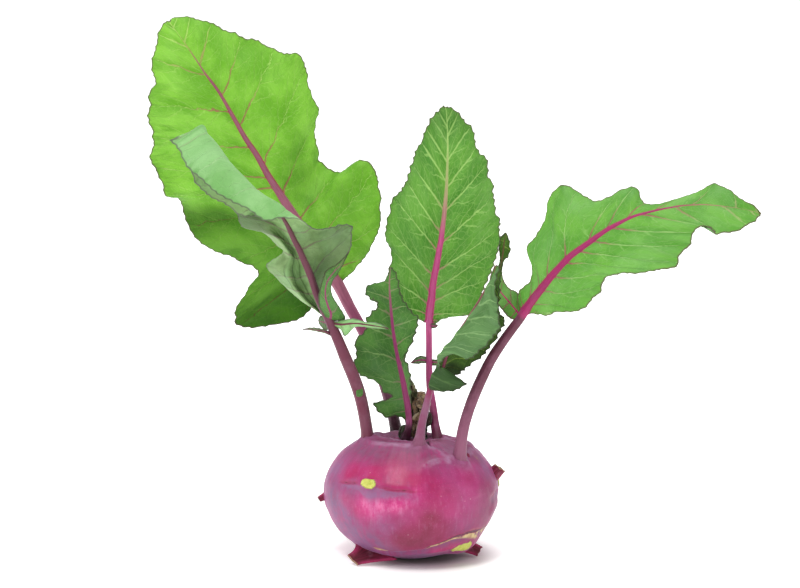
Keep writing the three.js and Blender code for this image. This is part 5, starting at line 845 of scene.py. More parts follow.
# line, depth, how corky its lips are
CREASES = [(CREASE_A, 0.55, 0.0), (CREASE_B[:6], 0.6, 0.0), (CREASE_C, 1.15, 1.0)]
SCARS = [(SCAR_A, 2.2), (SCAR_C, 2.8)]
CREASES += [(turned(CREASE_B, 128, -8), 0.8, 0.1), (turned(CREASE_A, 122, -8), 0.75, 0.1), (turned(CREASE_C[:9], 152, 6), 0.8, 0.8), (turned(CREASE_B, 228, 3), 0.75, 0.1)]
SCARS += [(turned(SCAR_A, 125, -8), 2.2), (turned(SCAR_C, 150, 7), 2.4)]
# raised rims of skin that run from stalk foot to stalk foot round the sunken crown: line, height, width
RIMS = [([[-20.5, -8.5, 55.4], [-16.1, -14.7, 55.8], [-11.9, -17.6, 56.1], [-7.3, -19.6, 56.2], [-3.1, -21.2, 56.0], [0.6, -22.0, 55.8]], 0.75, 1.9),
        ([[7.0, -21.8, 55.4], [9.8, -21.7, 54.8], [13.5, -22.3, 53.8], [16.7, -23.2, 52.1], [20.5, -22.7, 51.0]], 0.7, 1.8),
        ([[19.5, -24.4, 50.4], [12.5, -27.1, 51.1], [8.8, -29.6, 50.3], [6.0, -32.4, 48.6]], 0.55, 2.2),
        ([[26, -16, 50.5], [28.5, -6, 51.5], [27.5, 5, 52.4], [22, 14, 53.6], [16, 19, 55.0]], 0.6, 2.2),
        ([[9, 22, 55.0], [2, 25.5, 54.4], [-4, 26, 54.6]], 0.4, 2.0),
        ([[-11, 23, 55.0], [-18, 17, 55.0], [-22.5, 8, 54.6], [-22.5, 0, 55.0]], 0.5, 2.1),
        ([[-1, -17, 57], [-5.5, -11, 57], [-10, -8, 57.4], [-16, -6.5, 57.0]], 0.45, 1.3),
        ([[6, -15.5, 56.6], [11, -9, 57.2], [18, -8, 56.2], [24, -8, 54]], 0.45, 1.3),
        ([[15.5, 2, 57.2], [20, -2, 56.4], [25, -4, 54]], 0.4, 1.2)]
# colour of the skin: centre, radius, strength; SHADE_AT is painted shade, darker patches on the lower right, the lower
# flanks, the crown and the back
SHADE_AT = [([38, -16, 34], 8, 0.35), ([31, -26, 22], 7, 0.2), ([37, -14, 29], 8, 0.5), ([36, -12, 22], 8, 0.4), ([2, -34, 13], 8, 0.35), ([32, -25, 24], 8, 0.4), ([29, -24, 14], 7, 0.35), ([12, -36, 20], 9, 0.25), ([-22, -31, 20], 7, 0.2), ([34, -20, 30], 9, 0.50), ([33, -19, 21], 9, 0.40), ([27, -26, 16], 9, 0.40), ([18, -30, 15], 8, 0.42), ([8, -33.5, 14], 8, 0.45), ([-2, -34, 15], 8, 0.30), ([-18, -29, 15], 9, 0.30),
            ([-6, -31, 50], 9, 0.42), ([2, -23, 56], 7, 0.35), ([-8, -36, 44], 6, 0.25), ([14, 2, 57], 8, 0.35), ([30, 25, 18], 12, 0.35), ([-28, 26, 16], 12, 0.35), ([2, 38, 20], 12, 0.25)]
BLOOM_AT = [([-18, -30.5, 13.5], 8, 0.60), ([-25, -26, 18], 8, 0.5), ([-12, -31, 9.5], 6, 0.5), ([33, -13, 45], 7, 0.55), ([-33, -13, 46], 7, 0.55), ([-36.1, -19.2, 30.7], 10, 0.75), ([-33.8, -21.1, 24.0], 10, 0.85), ([-29.1, -23.5, 17.4], 9, 0.8), ([-22.6, -25.3, 11.7], 8, 0.6),
            ([-27.1, -28.7, 39.2], 4.0, 0.75), ([-17.8, -35.9, 37.9], 4.2, 0.9), ([-11.8, -38.2, 38.3], 3.6, 0.75), ([-5.0, -39.6, 37.9], 3.2, 0.5),
            ([-14, -37.5, 24], 6, 0.35), ([-8, -38.5, 20], 5, 0.3), ([32, -22, 27], 8, 0.25), ([24, -29, 19], 7, 0.30), ([20, -33, 34], 7, 0.15),
            ([-38, -8, 41], 8, 0.5), ([38, 0, 40], 9, 0.45), ([36, 14, 26], 14, 0.5), ([-30, 26, 30], 16, 0.5), ([0, 40, 30], 16, 0.35), ([20, 34, 44], 10, 0.4), ([-8, -26.5, 5.2], 6, 0.7), ([6, -26, 4.4], 7, 0.7)]
PINK_AT = [([-21.0, -35.1, 32.6], 4.2, 0.9), ([-14.1, -38.3, 33.2], 4.2, 1.0), ([-7.3, -40.1, 33.9], 4.5, 1.0), ([-1.3, -40.4, 36.0], 4.0, 0.7), ([-17.8, -36.7, 28.0], 4.5, 0.7),
           ([3.0, -39.6, 38.6], 3.5, 0.6), ([-8.6, -33.9, 46.1], 5, 0.35), ([30, 26, 34], 7, 0.6), ([-18, 36, 28], 8, 0.6), ([20.4, -29.0, 11.6], 4, 0.4), ([11.7, -28.1, 7.9], 4, 0.6)]
DEEP_AT = [([2, -35.5, 14], 6, 0.7), ([12, -35, 17], 6, 0.5), ([8.7, -39.7, 26.4], 5.0, 1.0), ([6.0, -39.0, 21.5], 6.0, 0.7), ([-2, -37.8, 18], 7, 0.75), ([8.8, -35.6, 15.9], 7, 0.55), ([-5.0, -35, 13.5], 6, 0.55),
           ([12, -38, 36], 8, 0.25), ([22, 33, 20], 8, 0.6), ([-34, 16, 20], 8, 0.6)]
VIVID_AT = [([-6, -31, 50], 8, 0.55), ([4, -27, 53], 6, 0.35), ([19.5, -28.5, 11.0], 4.2, 0.95), ([12.0, -28.5, 8.0], 4.0, 0.95), ([28.5, -20.5, 12.6], 3.6, 0.8), ([12, -10, 56], 6, 0.5), ([-27.2, -22.5, 44.8], 6, 0.9), ([-18, -30, 45.0], 6, 0.9), ([-8.6, -34.5, 44.5], 6, 0.9), ([-0.4, -37, 43.4], 6, 0.8), ([9, -37, 40], 8, 0.6), ([-29, -27, 33], 4, 0.7), ([-24, -32, 29], 4.5, 0.7),
            ([16, -36, 32], 9, 0.4), ([26, -26, 44], 7, 0.3), ([12, 38, 36], 10, 0.7), ([-36, 10, 36], 10, 0.6), ([36, 12, 36], 8, 0.4)]

def bulb_sheet(nphi=400, step=0.66):
    prof = np.array(PROFILE, float)
    tab = np.linspace(0, len(prof) - 1, (len(prof) - 1) * 30 + 1)
    q = cr(prof, tab)
    flat = tab <= 2.0
    q[flat, 1] = 0.0
    q[:, 1] = np.maximum(q[:, 1], 0)
    cum = np.concatenate([[0], np.cumsum(np.linalg.norm(np.diff(q, axis=0), axis=1))])
    n = int(cum[-1] / step)
    s = np.linspace(0, cum[-1], n + 1)
    r = np.interp(s, cum, q[:, 0]); z = np.interp(s, cum, q[:, 1])
    phi = np.linspace(0, 2 * np.pi, nphi, endpoint=False)
    lift = smooth(z, 0, 16)
    R = r[:, None] * (1 + (lift * 0.008)[:, None] * np.cos(3 * phi + 0.6)[None, :])
    P = np.stack([R * np.cos(phi)[None], R * np.sin(phi)[None], z[:, None] * np.ones((1, nphi))], -1)
    return P, r, z, phi, s

def bulb():
    P, r, z, phi, s = bulb_sheet()
    n, m = P.shape[:2]
    def normals(P):
        a = np.gradient(P, axis=0)
        b = (np.roll(P, -1, 1) - np.roll(P, 1, 1))
        N = np.cross(b, a)
        N[0] = (0, 0, -1); N[-1] = (0, 0, 1)
        return unit(N)
    N = normals(P)
    flatP = P.reshape(-1, 3)
    up = smooth(P[..., 2], 1.5, 8.0)
    H = np.zeros((n, m))
    H += up * (0.75 * fbm(P, 24, 2, 3) + 0.22 * fbm(P, 8, 2, 9))
    # very fine upright wrinkles, stronger towards the crown
    rad = np.hypot(P[..., 0], P[..., 1])
    ph = np.arctan2(P[..., 1], P[..., 0])
    ring = np.stack([np.cos(ph) * 30, np.sin(ph) * 30, P[..., 2] * 0.10 + rad * 0.08], -1)
    crownw = smooth(P[..., 2], 47, 56)
    H += up * 0.07 * fbm(ring, 2.6, 2, 31) + crownw * 0.40 * fbm(ring, 5.5, 2, 33)
    foot = np.zeros((n, m)); footd = np.full((n, m), 99.0)
    for k, (fx, fy, fr) in FEET.items():
        dx, dy = P[..., 0] - fx, P[..., 1] - fy
        d = np.hypot(dx, dy)
        top = P[..., 2] > 34
        fl = math.hypot(fx, fy) + 1e-6
        ox, oy = fx / fl, fy / fl
        along = dx * ox + dy * oy
        across = -dx * oy + dy * ox
        ang = np.arctan2(across, along)
        # a collar round the foot, and a ridge that runs outwards and down from it
        collar = np.exp(-(np.maximum(d - fr * 0.7, 0) / (2.3)) ** 1.5) * (1 + 0.10 * np.cos(5 * ang + fx))
        ridge = np.exp(-(across / (2.6 + 0.16 * np.maximum(along, 0))) ** 2) * smooth(along, -2, 3) * smooth(-along, -19, -5)
        front = 1.0 if fy < 0 else 0.6
        H += top * front * (1.25 * collar + 0.55 * ridge)
        moat = np.exp(-((d - fr - 4.6) / 1.9) ** 2)
        H -= top * (0.12 if fy < 0 else 0.5) * moat
        foot = np.maximum(foot, top * np.exp(-(np.maximum(d - fr, 0) / 3.2) ** 1.4))
        footd = np.minimum(footd, np.where(top, d, 99))
    # old leaf bases: low overlapping shoulders round the crown, and a sunken pocket in the middle
    for (ang0, rr, wid, hh) in ((-100, 19, 5.0, 0.9), (-62, 21, 4.6, 0.8), (-140, 20, 5.0, 0.8), (-20, 20, 5.0, 0.7), (30, 20, 5.0, 0.9), (75, 21, 5.0, 0.9), (118, 18, 5.0, 0.8), (160, 19, 5.0, 0.8), (200, 21, 4.0, 0.8)):
        cx, cy = rr * math.cos(math.radians(ang0)), rr * math.sin(math.radians(ang0))
        dx, dy = P[..., 0] - cx, P[..., 1] - cy
        ox, oy = math.cos(math.radians(ang0)), math.sin(math.radians(ang0))
        al, ac = dx * ox + dy * oy, -dx * oy + dy * ox
        H += (P[..., 2] > 40) * 0.6 * hh * np.exp(-(ac / wid) ** 2) * np.exp(-(al / 4.2) ** 2)
    rim = np.zeros((n, m))
    for line, hh, ww in RIMS:
        d, al = seg_dist(flatP, line)
        d = d.reshape(n, m); al = al.reshape(n, m)
        fade = smooth(al, 0.0, 0.12) * smooth(1 - al, 0.0, 0.12) + 0.3
        dj = d + 0.4 * vnoise(P, 3.0, 71)
        inner = smooth(np.hypot(np.array(line)[:, 0], np.array(line)[:, 1]).mean() - rad, -0.5, 2.5)
        H += hh * np.exp(-(dj / ww) ** 2) * fade - 0.45 * hh * np.exp(-((d - ww - 1.6) / 1.5) ** 2) * inner * fade
        rim = np.maximum(rim, np.exp(-(dj / (ww * 0.8)) ** 2) * fade)
    H -= smooth(P[..., 2], 48, 53) * (0.5 * smooth(-rad, -17, -12) + 1.9 * smooth(P[..., 1], 1, 13))
    H -= 2.3 * (P[..., 2] > 45) * np.exp(-((P[..., 0] - 13.5) / 6.5) ** 2 - ((P[..., 1] - 0.5) / 6.5) ** 2)
    # the pocket mask sinks the crown here and is later painted near-black as shade
    pocket_shade = 0.8 * np.exp(-((P[..., 0] + 2.5) ** 2 + (P[..., 1] - 1.5) ** 2) / 20.0) + 0.6 * np.exp(-((P[..., 0] - 7) ** 2 + (P[..., 1] - 9) ** 2) / 26.0)
    pocket_shade = pocket_shade * (P[..., 2] > 45)
    H -= 3.0 * pocket_shade * (1 - 0.8 * foot)
    for line, ww in SLOTS:
        d, al = seg_dist(flatP * np.array([1, 1, 0]), np.array(line) * np.array([1, 1, 0]))
        d = d.reshape(n, m); al = al.reshape(n, m)
        cut = np.exp(-((d + 0.2 * vnoise(P, 2.0, 12)) / (ww * (0.5 + 0.5 * smooth(al, 0, 0.3) * smooth(1 - al, 0, 0.35)))) ** 2) * (P[..., 2] > 45)
        H -= 1.6 * cut
        pocket_shade = np.maximum(pocket_shade, 1.1 * cut)
    # the inside of the sunken crown, painted darker as shade in the material
    bowl_shade = smooth(P[..., 2], 50, 54) * smooth(-rad, -20.5, -16.5) * smooth(P[..., 1], -19.5, -15.5)
    # creases and healed scars
    crease = np.full((n, m), 99.0); scar = np.zeros((n, m)); pillow = np.zeros((n, m)); shelf = np.zeros((n, m)); cork = np.zeros((n, m))
    def lay(line):
        return [flatP[np.argmin(((flatP - np.array(p)) ** 2).sum(1))].tolist() for p in line]
    for line, k, ck in CREASES:
        line = lay(line)
        L = resample(np.concatenate([np.array(line, float), np.zeros((len(line), 1))], 1), 0.8)[:, :3]
        d, al = seg_dist(flatP, L)
        d = d.reshape(n, m); al = al.reshape(n, m)
        near = L[np.clip((al * (len(L) - 1)).round().astype(int), 0, len(L) - 1)]
        below = smooth(near[..., 2] - P[..., 2], -0.8, 0.8)
        ends = 0.12 if k > 1 else 0.30
        fade = smooth(al, -0.02, ends) * smooth(1 - al, -0.02, ends) + (0.2 if k > 1 else 0.05)
        dj = d + 0.22 * vnoise(P, 1.6, 77)
        H -= k * (0.95 if k > 1 else 0.6) * np.exp(-(dj / 0.55) ** 2) * fade                                   # the narrow line of the fold
        H += k * 0.42 * np.exp(-((d - 1.8) / 2.2) ** 2) * (1 - below) * fade               # the skin above hangs over it
        H -= k * 0.55 * np.exp(-((d - 1.8) / 2.2) ** 2) * below * fade                     # a shelf beneath, then a swelling
        H += k * 0.85 * np.exp(-((d - 7.0) / 3.4) ** 2) * below * fade * smooth(P[..., 2], 4, 12)
        # on the deep crease the painted dark line lies on the overhanging side, where its shadow shows
        de = np.maximum(dj - 1.15 * (1 - below) * smooth(np.abs(P[..., 0]), 2, 10), 0) if k > 1 else dj
        crease = np.minimum(crease, de + (1 - np.clip(fade, 0, 1)) * 0.9 + (-0.25 - 0.25 * smooth(P[..., 0], 12, 20) * (P[..., 1] < 0) if k > 1 else 0.27))
        pillow = np.maximum(pillow, np.exp(-((d - 2.2) / 2.4) ** 2) * below * fade)
        wc = 0.75 + 1.5 * smooth(np.abs(P[..., 0]), 19, 30)
        cork = np.maximum(cork, ck * np.exp(-((d - 0.7 - 0.5 * wc) / wc) ** 2) * (0.35 + 0.65 * below) * smooth(np.abs(P[..., 0]), 4, 11))
    d, al = seg_dist(flatP, resample(np.concatenate([np.array(lay(SHELF)), np.zeros((len(SHELF), 1))], 1), 0.8)[:, :3])
    d = d.reshape(n, m); al = al.reshape(n, m)
    zline = np.interp(P[..., 0], [q[0] for q in SHELF], [q[2] for q in SHELF])
    tall = 1.3 + 3.4 * np.exp(-((P[..., 0] + 17) / 11.0) ** 2)
    shelf = smooth(-d, -tall - 1.3, -tall + 0.8) * smooth(zline - P[..., 2], 0.1, 1.0) * smooth(al, 0.0, 0.2) * smooth(1 - al, 0.0, 0.25) * (P[..., 1] < 0)
    for line, rr in SCARS:
        line = lay(line)
        d, al = seg_dist(flatP, line)
        d = d.reshape(n, m)
        dj = d + 0.40 * vnoise(P, 2.0, 78) + 0.22 * vnoise(P, 0.9, 80)
        cover = smooth(-dj, -rr - 0.5, -rr + 0.7)
        H = H * (1 - 0.85 * cover) + 0.75 * smooth(-dj, -rr - 0.35, -rr + 0.45) - 0.30 * np.exp(-((dj - rr - 0.6) / 0.5) ** 2) + 0.20 * cover * vnoise(P, 1.1, 79)
        scar = np.maximum(scar, smooth(-dj, -rr - 0.25, -rr + 0.25))
        crease = np.where(dj < rr + 0.3, 20, crease)
    for c, hh, ww in BUMPS:
        H += hh * np.exp(-((P - np.array(c)) ** 2).sum(-1) / ww ** 2)
    for line in SCRATCH:
        d, al = seg_dist(flatP, line)
        H -= 0.10 * np.exp(-(d.reshape(n, m) / 0.35) ** 2)
    for st in STUBS.values():
        f0, fh = np.array(st["foot"]), np.array(st["footHalf"])
        d, al = seg_dist(flatP, [f0 - fh * 0.8, f0 + fh * 0.8])
        d = d.reshape(n, m)
        H += 0.5 * np.exp(-(np.maximum(d - 2.6, 0) / 1.8) ** 2)
    # pores and pimples of the skin
    H += up * 0.05 * np.maximum(vnoise(P, 1.5, 55), 0.25)
    Q = P + N * (H * smooth(P[..., 2], 0.2, 6.0))[..., None]
    Q[..., 2] = np.maximum(Q[..., 2], 0.0)
    V = np.concatenate([Q[1:-1].reshape(-1, 3), [[0, 0, 0]], [Q[-1].mean(0)]])
    k = n - 2
    idx = np.arange(k * m).reshape(k, m)
    r2 = np.roll(idx, -1, 1)
    f = np.stack([idx[:-1].ravel(), r2[:-1].ravel(), r2[1:].ravel(), idx[1:].ravel()], 1).tolist()
    c0, c1 = k * m, k * m + 1
    for j in range(m):
        j2 = (j + 1) % m
        f.append([c0, idx[0, j2], idx[0, j]])
        f.append([c1, idx[-1, j], idx[-1, j2]])
    ext = lambda x: np.concatenate([x[1:-1].ravel(), [x[0].mean()], [x[-1].mean()]])
    # where the wax bloom lies: on the shoulders, the flanks and below the creases; thin on the front
    def spots(table):
        out = np.zeros((n, m))
        for c, r0, k in table:
            out = 1 - (1 - out) * (1 - k * np.exp(-(np.linalg.norm(P - np.array(c), axis=2) / r0) ** 2))
        return out
    deep, pink, vivid = spots(DEEP_AT), spots(PINK_AT), spots(VIVID_AT)
    bloom = 0.16 + 0.62 * smooth(P[..., 2], 46, 55) + 0.35 * smooth(-P[..., 2], -13, -4) + 0.16 * fbm(P, 16, 3, 61)
    bloom = 1 - (1 - np.clip(bloom, 0, 1)) * (1 - spots(BLOOM_AT)) - 0.45 * deep - 0.42 * vivid - 0.30 * pink
    bloom = np.maximum(bloom, 0.75 * pillow * (1 - 0.4 * pink))
    at = dict(bloom=ext(np.clip(bloom, 0, 1)), foot=ext(foot), crease=ext(np.clip(crease, -1, 20)), scar=ext(scar), cork=ext(cork), rim=ext(np.clip(rim, 0, 1)),
              deep=ext(deep), pink=ext(pink), vivid=ext(vivid), shelf=ext(shelf), bowl_shade=ext(bowl_shade), tan=ext(spots(TAN_AT)), shade=ext(spots(SHADE_AT)),
              pocket_shade=ext(np.clip(pocket_shade, 0, 1)), cph=ext(np.cos(ph)), sph=ext(np.sin(ph)), z=ext(P[..., 2]), rad=ext(rad))
    ob = make_mesh("bulb_skin_mesh", V, f, at, bulb_material())
    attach(ob, "root")
    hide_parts("bulb")
    return ob

def bulb_material():
    g = Nodes("bulb_skin")
    bloom, foot, crease, scar, cork, rim, deep, pink, vivid, shelf, bowl_shade, tan, shade, pocket_shade, cph, sph, z, rad = (g.attr(k) for k in (
        "bloom", "foot", "crease", "scar", "cork", "rim", "deep", "pink", "vivid", "shelf", "bowl_shade", "tan", "shade", "pocket_shade", "cph", "sph", "z", "rad"))
    o = g.obj()
    n1 = g.noise(o, 60.0, 4.0, 0.6)
    n2 = g.noise(o, 420.0, 4.0, 0.65)
    n3 = g.noise(o, 150.0, 5.0, 0.65)
    mer = g.noise(g.vec(g.mul(cph, 1.0), g.mul(sph, 1.0), g.mul(z, 0.012)), 14.0, 5.0, 0.65)     # upright streaks
    mer2 = g.noise(g.vec(g.mul(cph, 1.0), g.mul(sph, 1.0), g.mul(z, 0.008)), 24.0, 4.0, 0.65)
    lat = g.noise(g.vec(g.mul(cph, 0.25), g.mul(sph, 0.25), g.mul(z, 0.10)), 9.0, 4.0, 0.7, 1.2)    # faint bands round the bulb
    base = g.mix(g.smooth(n1, 0.34, 0.66), lin(148, 28, 90), lin(172, 46, 114))
    base = g.mix(g.mul(vivid, g.smooth(n3, 0.2, 0.6)), base, lin(176, 20, 88))
    base = g.mix(g.mul(g.smooth(mer, 0.45, 0.72), 0.26), base, lin(196, 88, 146))
    base = g.mix(g.mul(g.smooth(lat, 0.5, 0.75), 0.22), base, lin(124, 18, 74))
    base = g.mix(g.mul(deep, 0.88), base, g.mix(g.smooth(n3, 0.3, 0.7), lin(124, 10, 50), lin(146, 34, 78)))
    base = g.mix(g.mul(pink, g.smooth(n3, 0.15, 0.55)), base, g.mix(g.smooth(g.add(g.mul(mer2, 0.45), g.mul(n3, 0.55)), 0.42, 0.66), lin(204, 54, 128), lin(218, 116, 166)))
    streak = g.mul(g.smooth(mer2, 0.52, 0.74), g.mul(g.smooth(z, 12.0, 20.0), g.smooth(z, 40.0, 32.0)))
    base = g.mix(g.mul(streak, 0.20), base, lin(200, 132, 174))
    speck = g.smooth(g.voronoi(o, 900.0, "F1"), 0.24, 0.08)
    base = g.mix(g.mul(speck, 0.22), base, lin(204, 120, 162))
    speck2 = g.mul(g.smooth(g.voronoi(o, 260.0, "F1"), 0.11, 0.04), g.smooth(n1, 0.45, 0.6))
    base = g.mix(g.mul(speck2, 0.5), base, lin(206, 160, 170))
    bl = g.mul(bloom, g.smooth(g.add(g.mul(n3, 0.6), g.mul(mer2, 0.4)), 0.25, 0.62))
    lilac = g.mix(n1, lin(108, 76, 114), lin(138, 104, 142))
    lilac = g.mix(g.smooth(z, 46.0, 54.0), lilac, g.mix(n3, lin(98, 50, 84), lin(134, 94, 124)))
    base = g.mix(g.math("MINIMUM", g.mul(bl, 1.05), 0.88), base, lilac)
    base = g.mix(g.mul(g.smooth(shelf, 0.1, 0.95), g.add(0.12, g.mul(g.smooth(n3, 0.25, 0.65), 0.55))), base, g.mix(n1, lin(124, 84, 128), lin(156, 112, 150)))
    base = g.mix(g.mul(g.smooth(foot, 0.2, 0.95), 0.62), base, g.mix(g.smooth(n2, 0.3, 0.7), lin(128, 62, 100), lin(150, 92, 130)))
    # painted shade: the sunken crown is darkened unevenly
    base = g.mix(g.mul(bowl_shade, g.add(0.30, g.mul(g.smooth(g.noise(g.vec(g.mul(rad, 0.5), g.mul(cph, 2.0), g.mul(sph, 2.0)), 1.4, 4.0, 0.6), 0.4, 0.65), 0.5))), base, lin(104, 24, 68))
    base = g.mix(g.mul(tan, g.smooth(n3, 0.42, 0.58)), base, lin(176, 134, 108))
    # painted highlight: pale lilac on the tops of the raised rims round the crown
    base = g.mix(g.mul(g.smooth(rim, 0.2, 1.0), g.mul(g.smooth(n3, 0.3, 0.6), 0.34)), base, lin(186, 156, 186))
    # painted shade: near-black in the sunken pocket and slots of the crown
    base = g.mix(g.mul(g.smooth(pocket_shade, 0.2, 0.8), 0.92), base, lin(46, 8, 24))
    # painted shade: the SHADE_AT patches multiply the skin colour darker
    base = g.mix(g.mul(shade, g.add(0.55, g.mul(n1, 0.5))), base, g.mix(1.0, base, (0.58, 0.32, 0.44, 1), "MULTIPLY"))
    # painted shade: a dark line along each fold, where the overhanging skin would shade it; pale corky lips where the
    # skin has split
    ed = g.mix(g.smooth(n2, 0.3, 0.7), lin(176, 138, 96), lin(214, 196, 138))
    base = g.mix(g.mul(g.smooth(crease, 1.5, 0.5), 0.45), base, lin(150, 14, 66))
    base = g.mix(g.mul(g.smooth(crease, 0.55, 0.12), 0.9), base, lin(84, 12, 44))
    lip = g.mul(g.smooth(cork, 0.2, 0.7), g.smooth(g.noise(o, 210.0, 4.0, 0.7), 0.38, 0.50))
    base = g.mix(g.mul(lip, g.mul(g.smooth(crease, 0.3, 0.7), 0.92)), base, ed)
    corkc = g.mix(g.smooth(n2, 0.3, 0.7), lin(172, 184, 62), lin(210, 212, 108))
    corkc = g.mix(g.mul(g.smooth(scar, 0.98, 0.7), 0.7), corkc, lin(128, 150, 40))
    base = g.mix(g.mul(g.smooth(scar, 0.35, 0.65), 0.97), base, corkc)
    # the flat underside is paler and a little dirty
    base = g.mix(g.smooth(z, 3.0, 0.0), base, lin(150, 110, 116))
    g.set("Base Color", base)
    g.set("Roughness", g.add(0.34, g.add(g.mul(bl, 0.24), g.mul(n2, 0.18))))
    g.set("Specular IOR Level", 0.42)
    g.set("Coat Weight", 0.03)
    g.set("Coat Roughness", 0.24)
    g.set("Sheen Weight", 0.26)
    g.set("Sheen Roughness", 0.32)
    g.set("Sheen Tint", (0.66, 0.70, 1.0, 1))
    g.set("Subsurface Weight", 0.10)
    g.set("Subsurface Radius", (0.004, 0.0012, 0.0014))
    g.set("Subsurface Scale", 0.6)
    h = g.add(g.mul(n2, 0.35), g.add(g.mul(mer, 0.22), g.mul(g.noise(o, 1500.0, 2.0, 0.5), 0.10)))
    g.set("Normal", g.bump(h, 0.0004, 0.55))
    return g.mat

# ---------------------------------------------------------------- stubs, heart leaves, buds
STUBS = {
  "leaf_stub_left": dict(foot=[-37.6, -4, 30.2], footHalf=[-0.6, 0, -3.9], tip=[-43.0, -4.2, 27.2], tipHalf=[0.9, 0, -1.1], thick=[2.2, 1.6]),
  "leaf_stub_right": dict(foot=[36.6, -3.6, 36.8], footHalf=[1.4, 0, -5.2], tip=[41.9, -4, 42.4], tipHalf=[2.6, 0, -1.7], thick=[2.6, 1.9]),
  "leaf_stub_low_left": dict(foot=[-16.6, -19.6, 5.9], footHalf=[9.2, -2.7, -3.2], tip=[-27.0, -22.7, 2.9], tipHalf=[2.5, -1.7, -2.1], thick=[1.9, 1.5]),
  "leaf_stub_low_right": dict(foot=[25.2, -9, 6.6], footHalf=[0.9, 1, 3.4], tip=[32.3, -7.4, 2.9], tipHalf=[1.4, 0.4, 2.2], thick=[2.4, 1.9]),
  "leaf_stub_rear_left": dict(foot=[-19.6, 30.6, 21], footHalf=[4.4, 2.8, -1.6], tip=[-23.4, 38.2, 22.6], tipHalf=[2.5, 1.5, -0.7], thick=[2.5, 1.8]),
  "leaf_stub_rear_right": dict(foot=[20.8, 26.4, 14.5], footHalf=[-4.6, 3.6, 0.6], tip=[26.0, 33.4, 11.2], tipHalf=[-2.6, 1.9, 0.4], thick=[2.6, 1.8]),
  "leaf_stub_rear_high": dict(foot=[4, 34.4, 38.2], footHalf=[5.0, -0.6, 0.8], tip=[4.8, 41.0, 43.2], tipHalf=[2.8, -0.3, 0.4], thick=[2.4, 1.7]),
}

def stub_material():
    """Attributes: cut (1 on the cut face), rim (1 on its edge), wx (-1..1 across the stub), up (1 on its channelled side), along (0 foot .. 1 cut)."""
    g = Nodes("leaf_stub")
    cut, rim, wx, up, along = (g.attr(k) for k in ("cut", "rim", "wx", "up", "along"))
    o = g.obj()
    n = g.noise(o, 500.0, 4.0, 0.65)
    fib = g.noise(g.vec(g.mul(wx, 2.4), g.mul(up, 3.0), g.mul(along, 0.25)), 3.0, 4.0, 0.65)
    col = g.mix(g.smooth(fib, 0.35, 0.68), lin(92, 8, 36), lin(150, 38, 78))
    col = g.mix(g.mul(g.smooth(g.math("ABSOLUTE", wx), 0.55, 0.9), 0.55), col, lin(182, 48, 104))
    col = g.mix(g.mul(up, g.smooth(g.math("ABSOLUTE", wx), 0.7, 0.2)), col, g.mix(g.smooth(fib, 0.3, 0.7), lin(76, 4, 26), lin(118, 22, 54)))
    col = g.mix(g.mul(g.smooth(g.noise(o, 180.0, 3.0, 0.6), 0.52, 0.75), 0.35), col, lin(150, 106, 124))
    col = g.mix(g.mul(g.smooth(along, 0.72, 1.0), 0.45), col, lin(96, 44, 46))
    pith = g.mix(g.smooth(n, 0.35, 0.7), lin(160, 124, 100), lin(206, 178, 146))
    col = g.mix(g.mul(g.smooth(cut, 0.35, 0.75), 0.95), col, pith)
    col = g.mix(g.mul(g.smooth(rim, 0.5, 0.95), 0.6), col, lin(150, 96, 86))
    g.set("Base Color", col)
    g.set("Roughness", g.add(0.5, g.mul(n, 0.25)))
    g.set("Specular IOR Level", 0.32)
    g.set("Normal", g.bump(g.add(n, g.mul(fib, 1.5)), 0.0006, 0.7))
    return g.mat

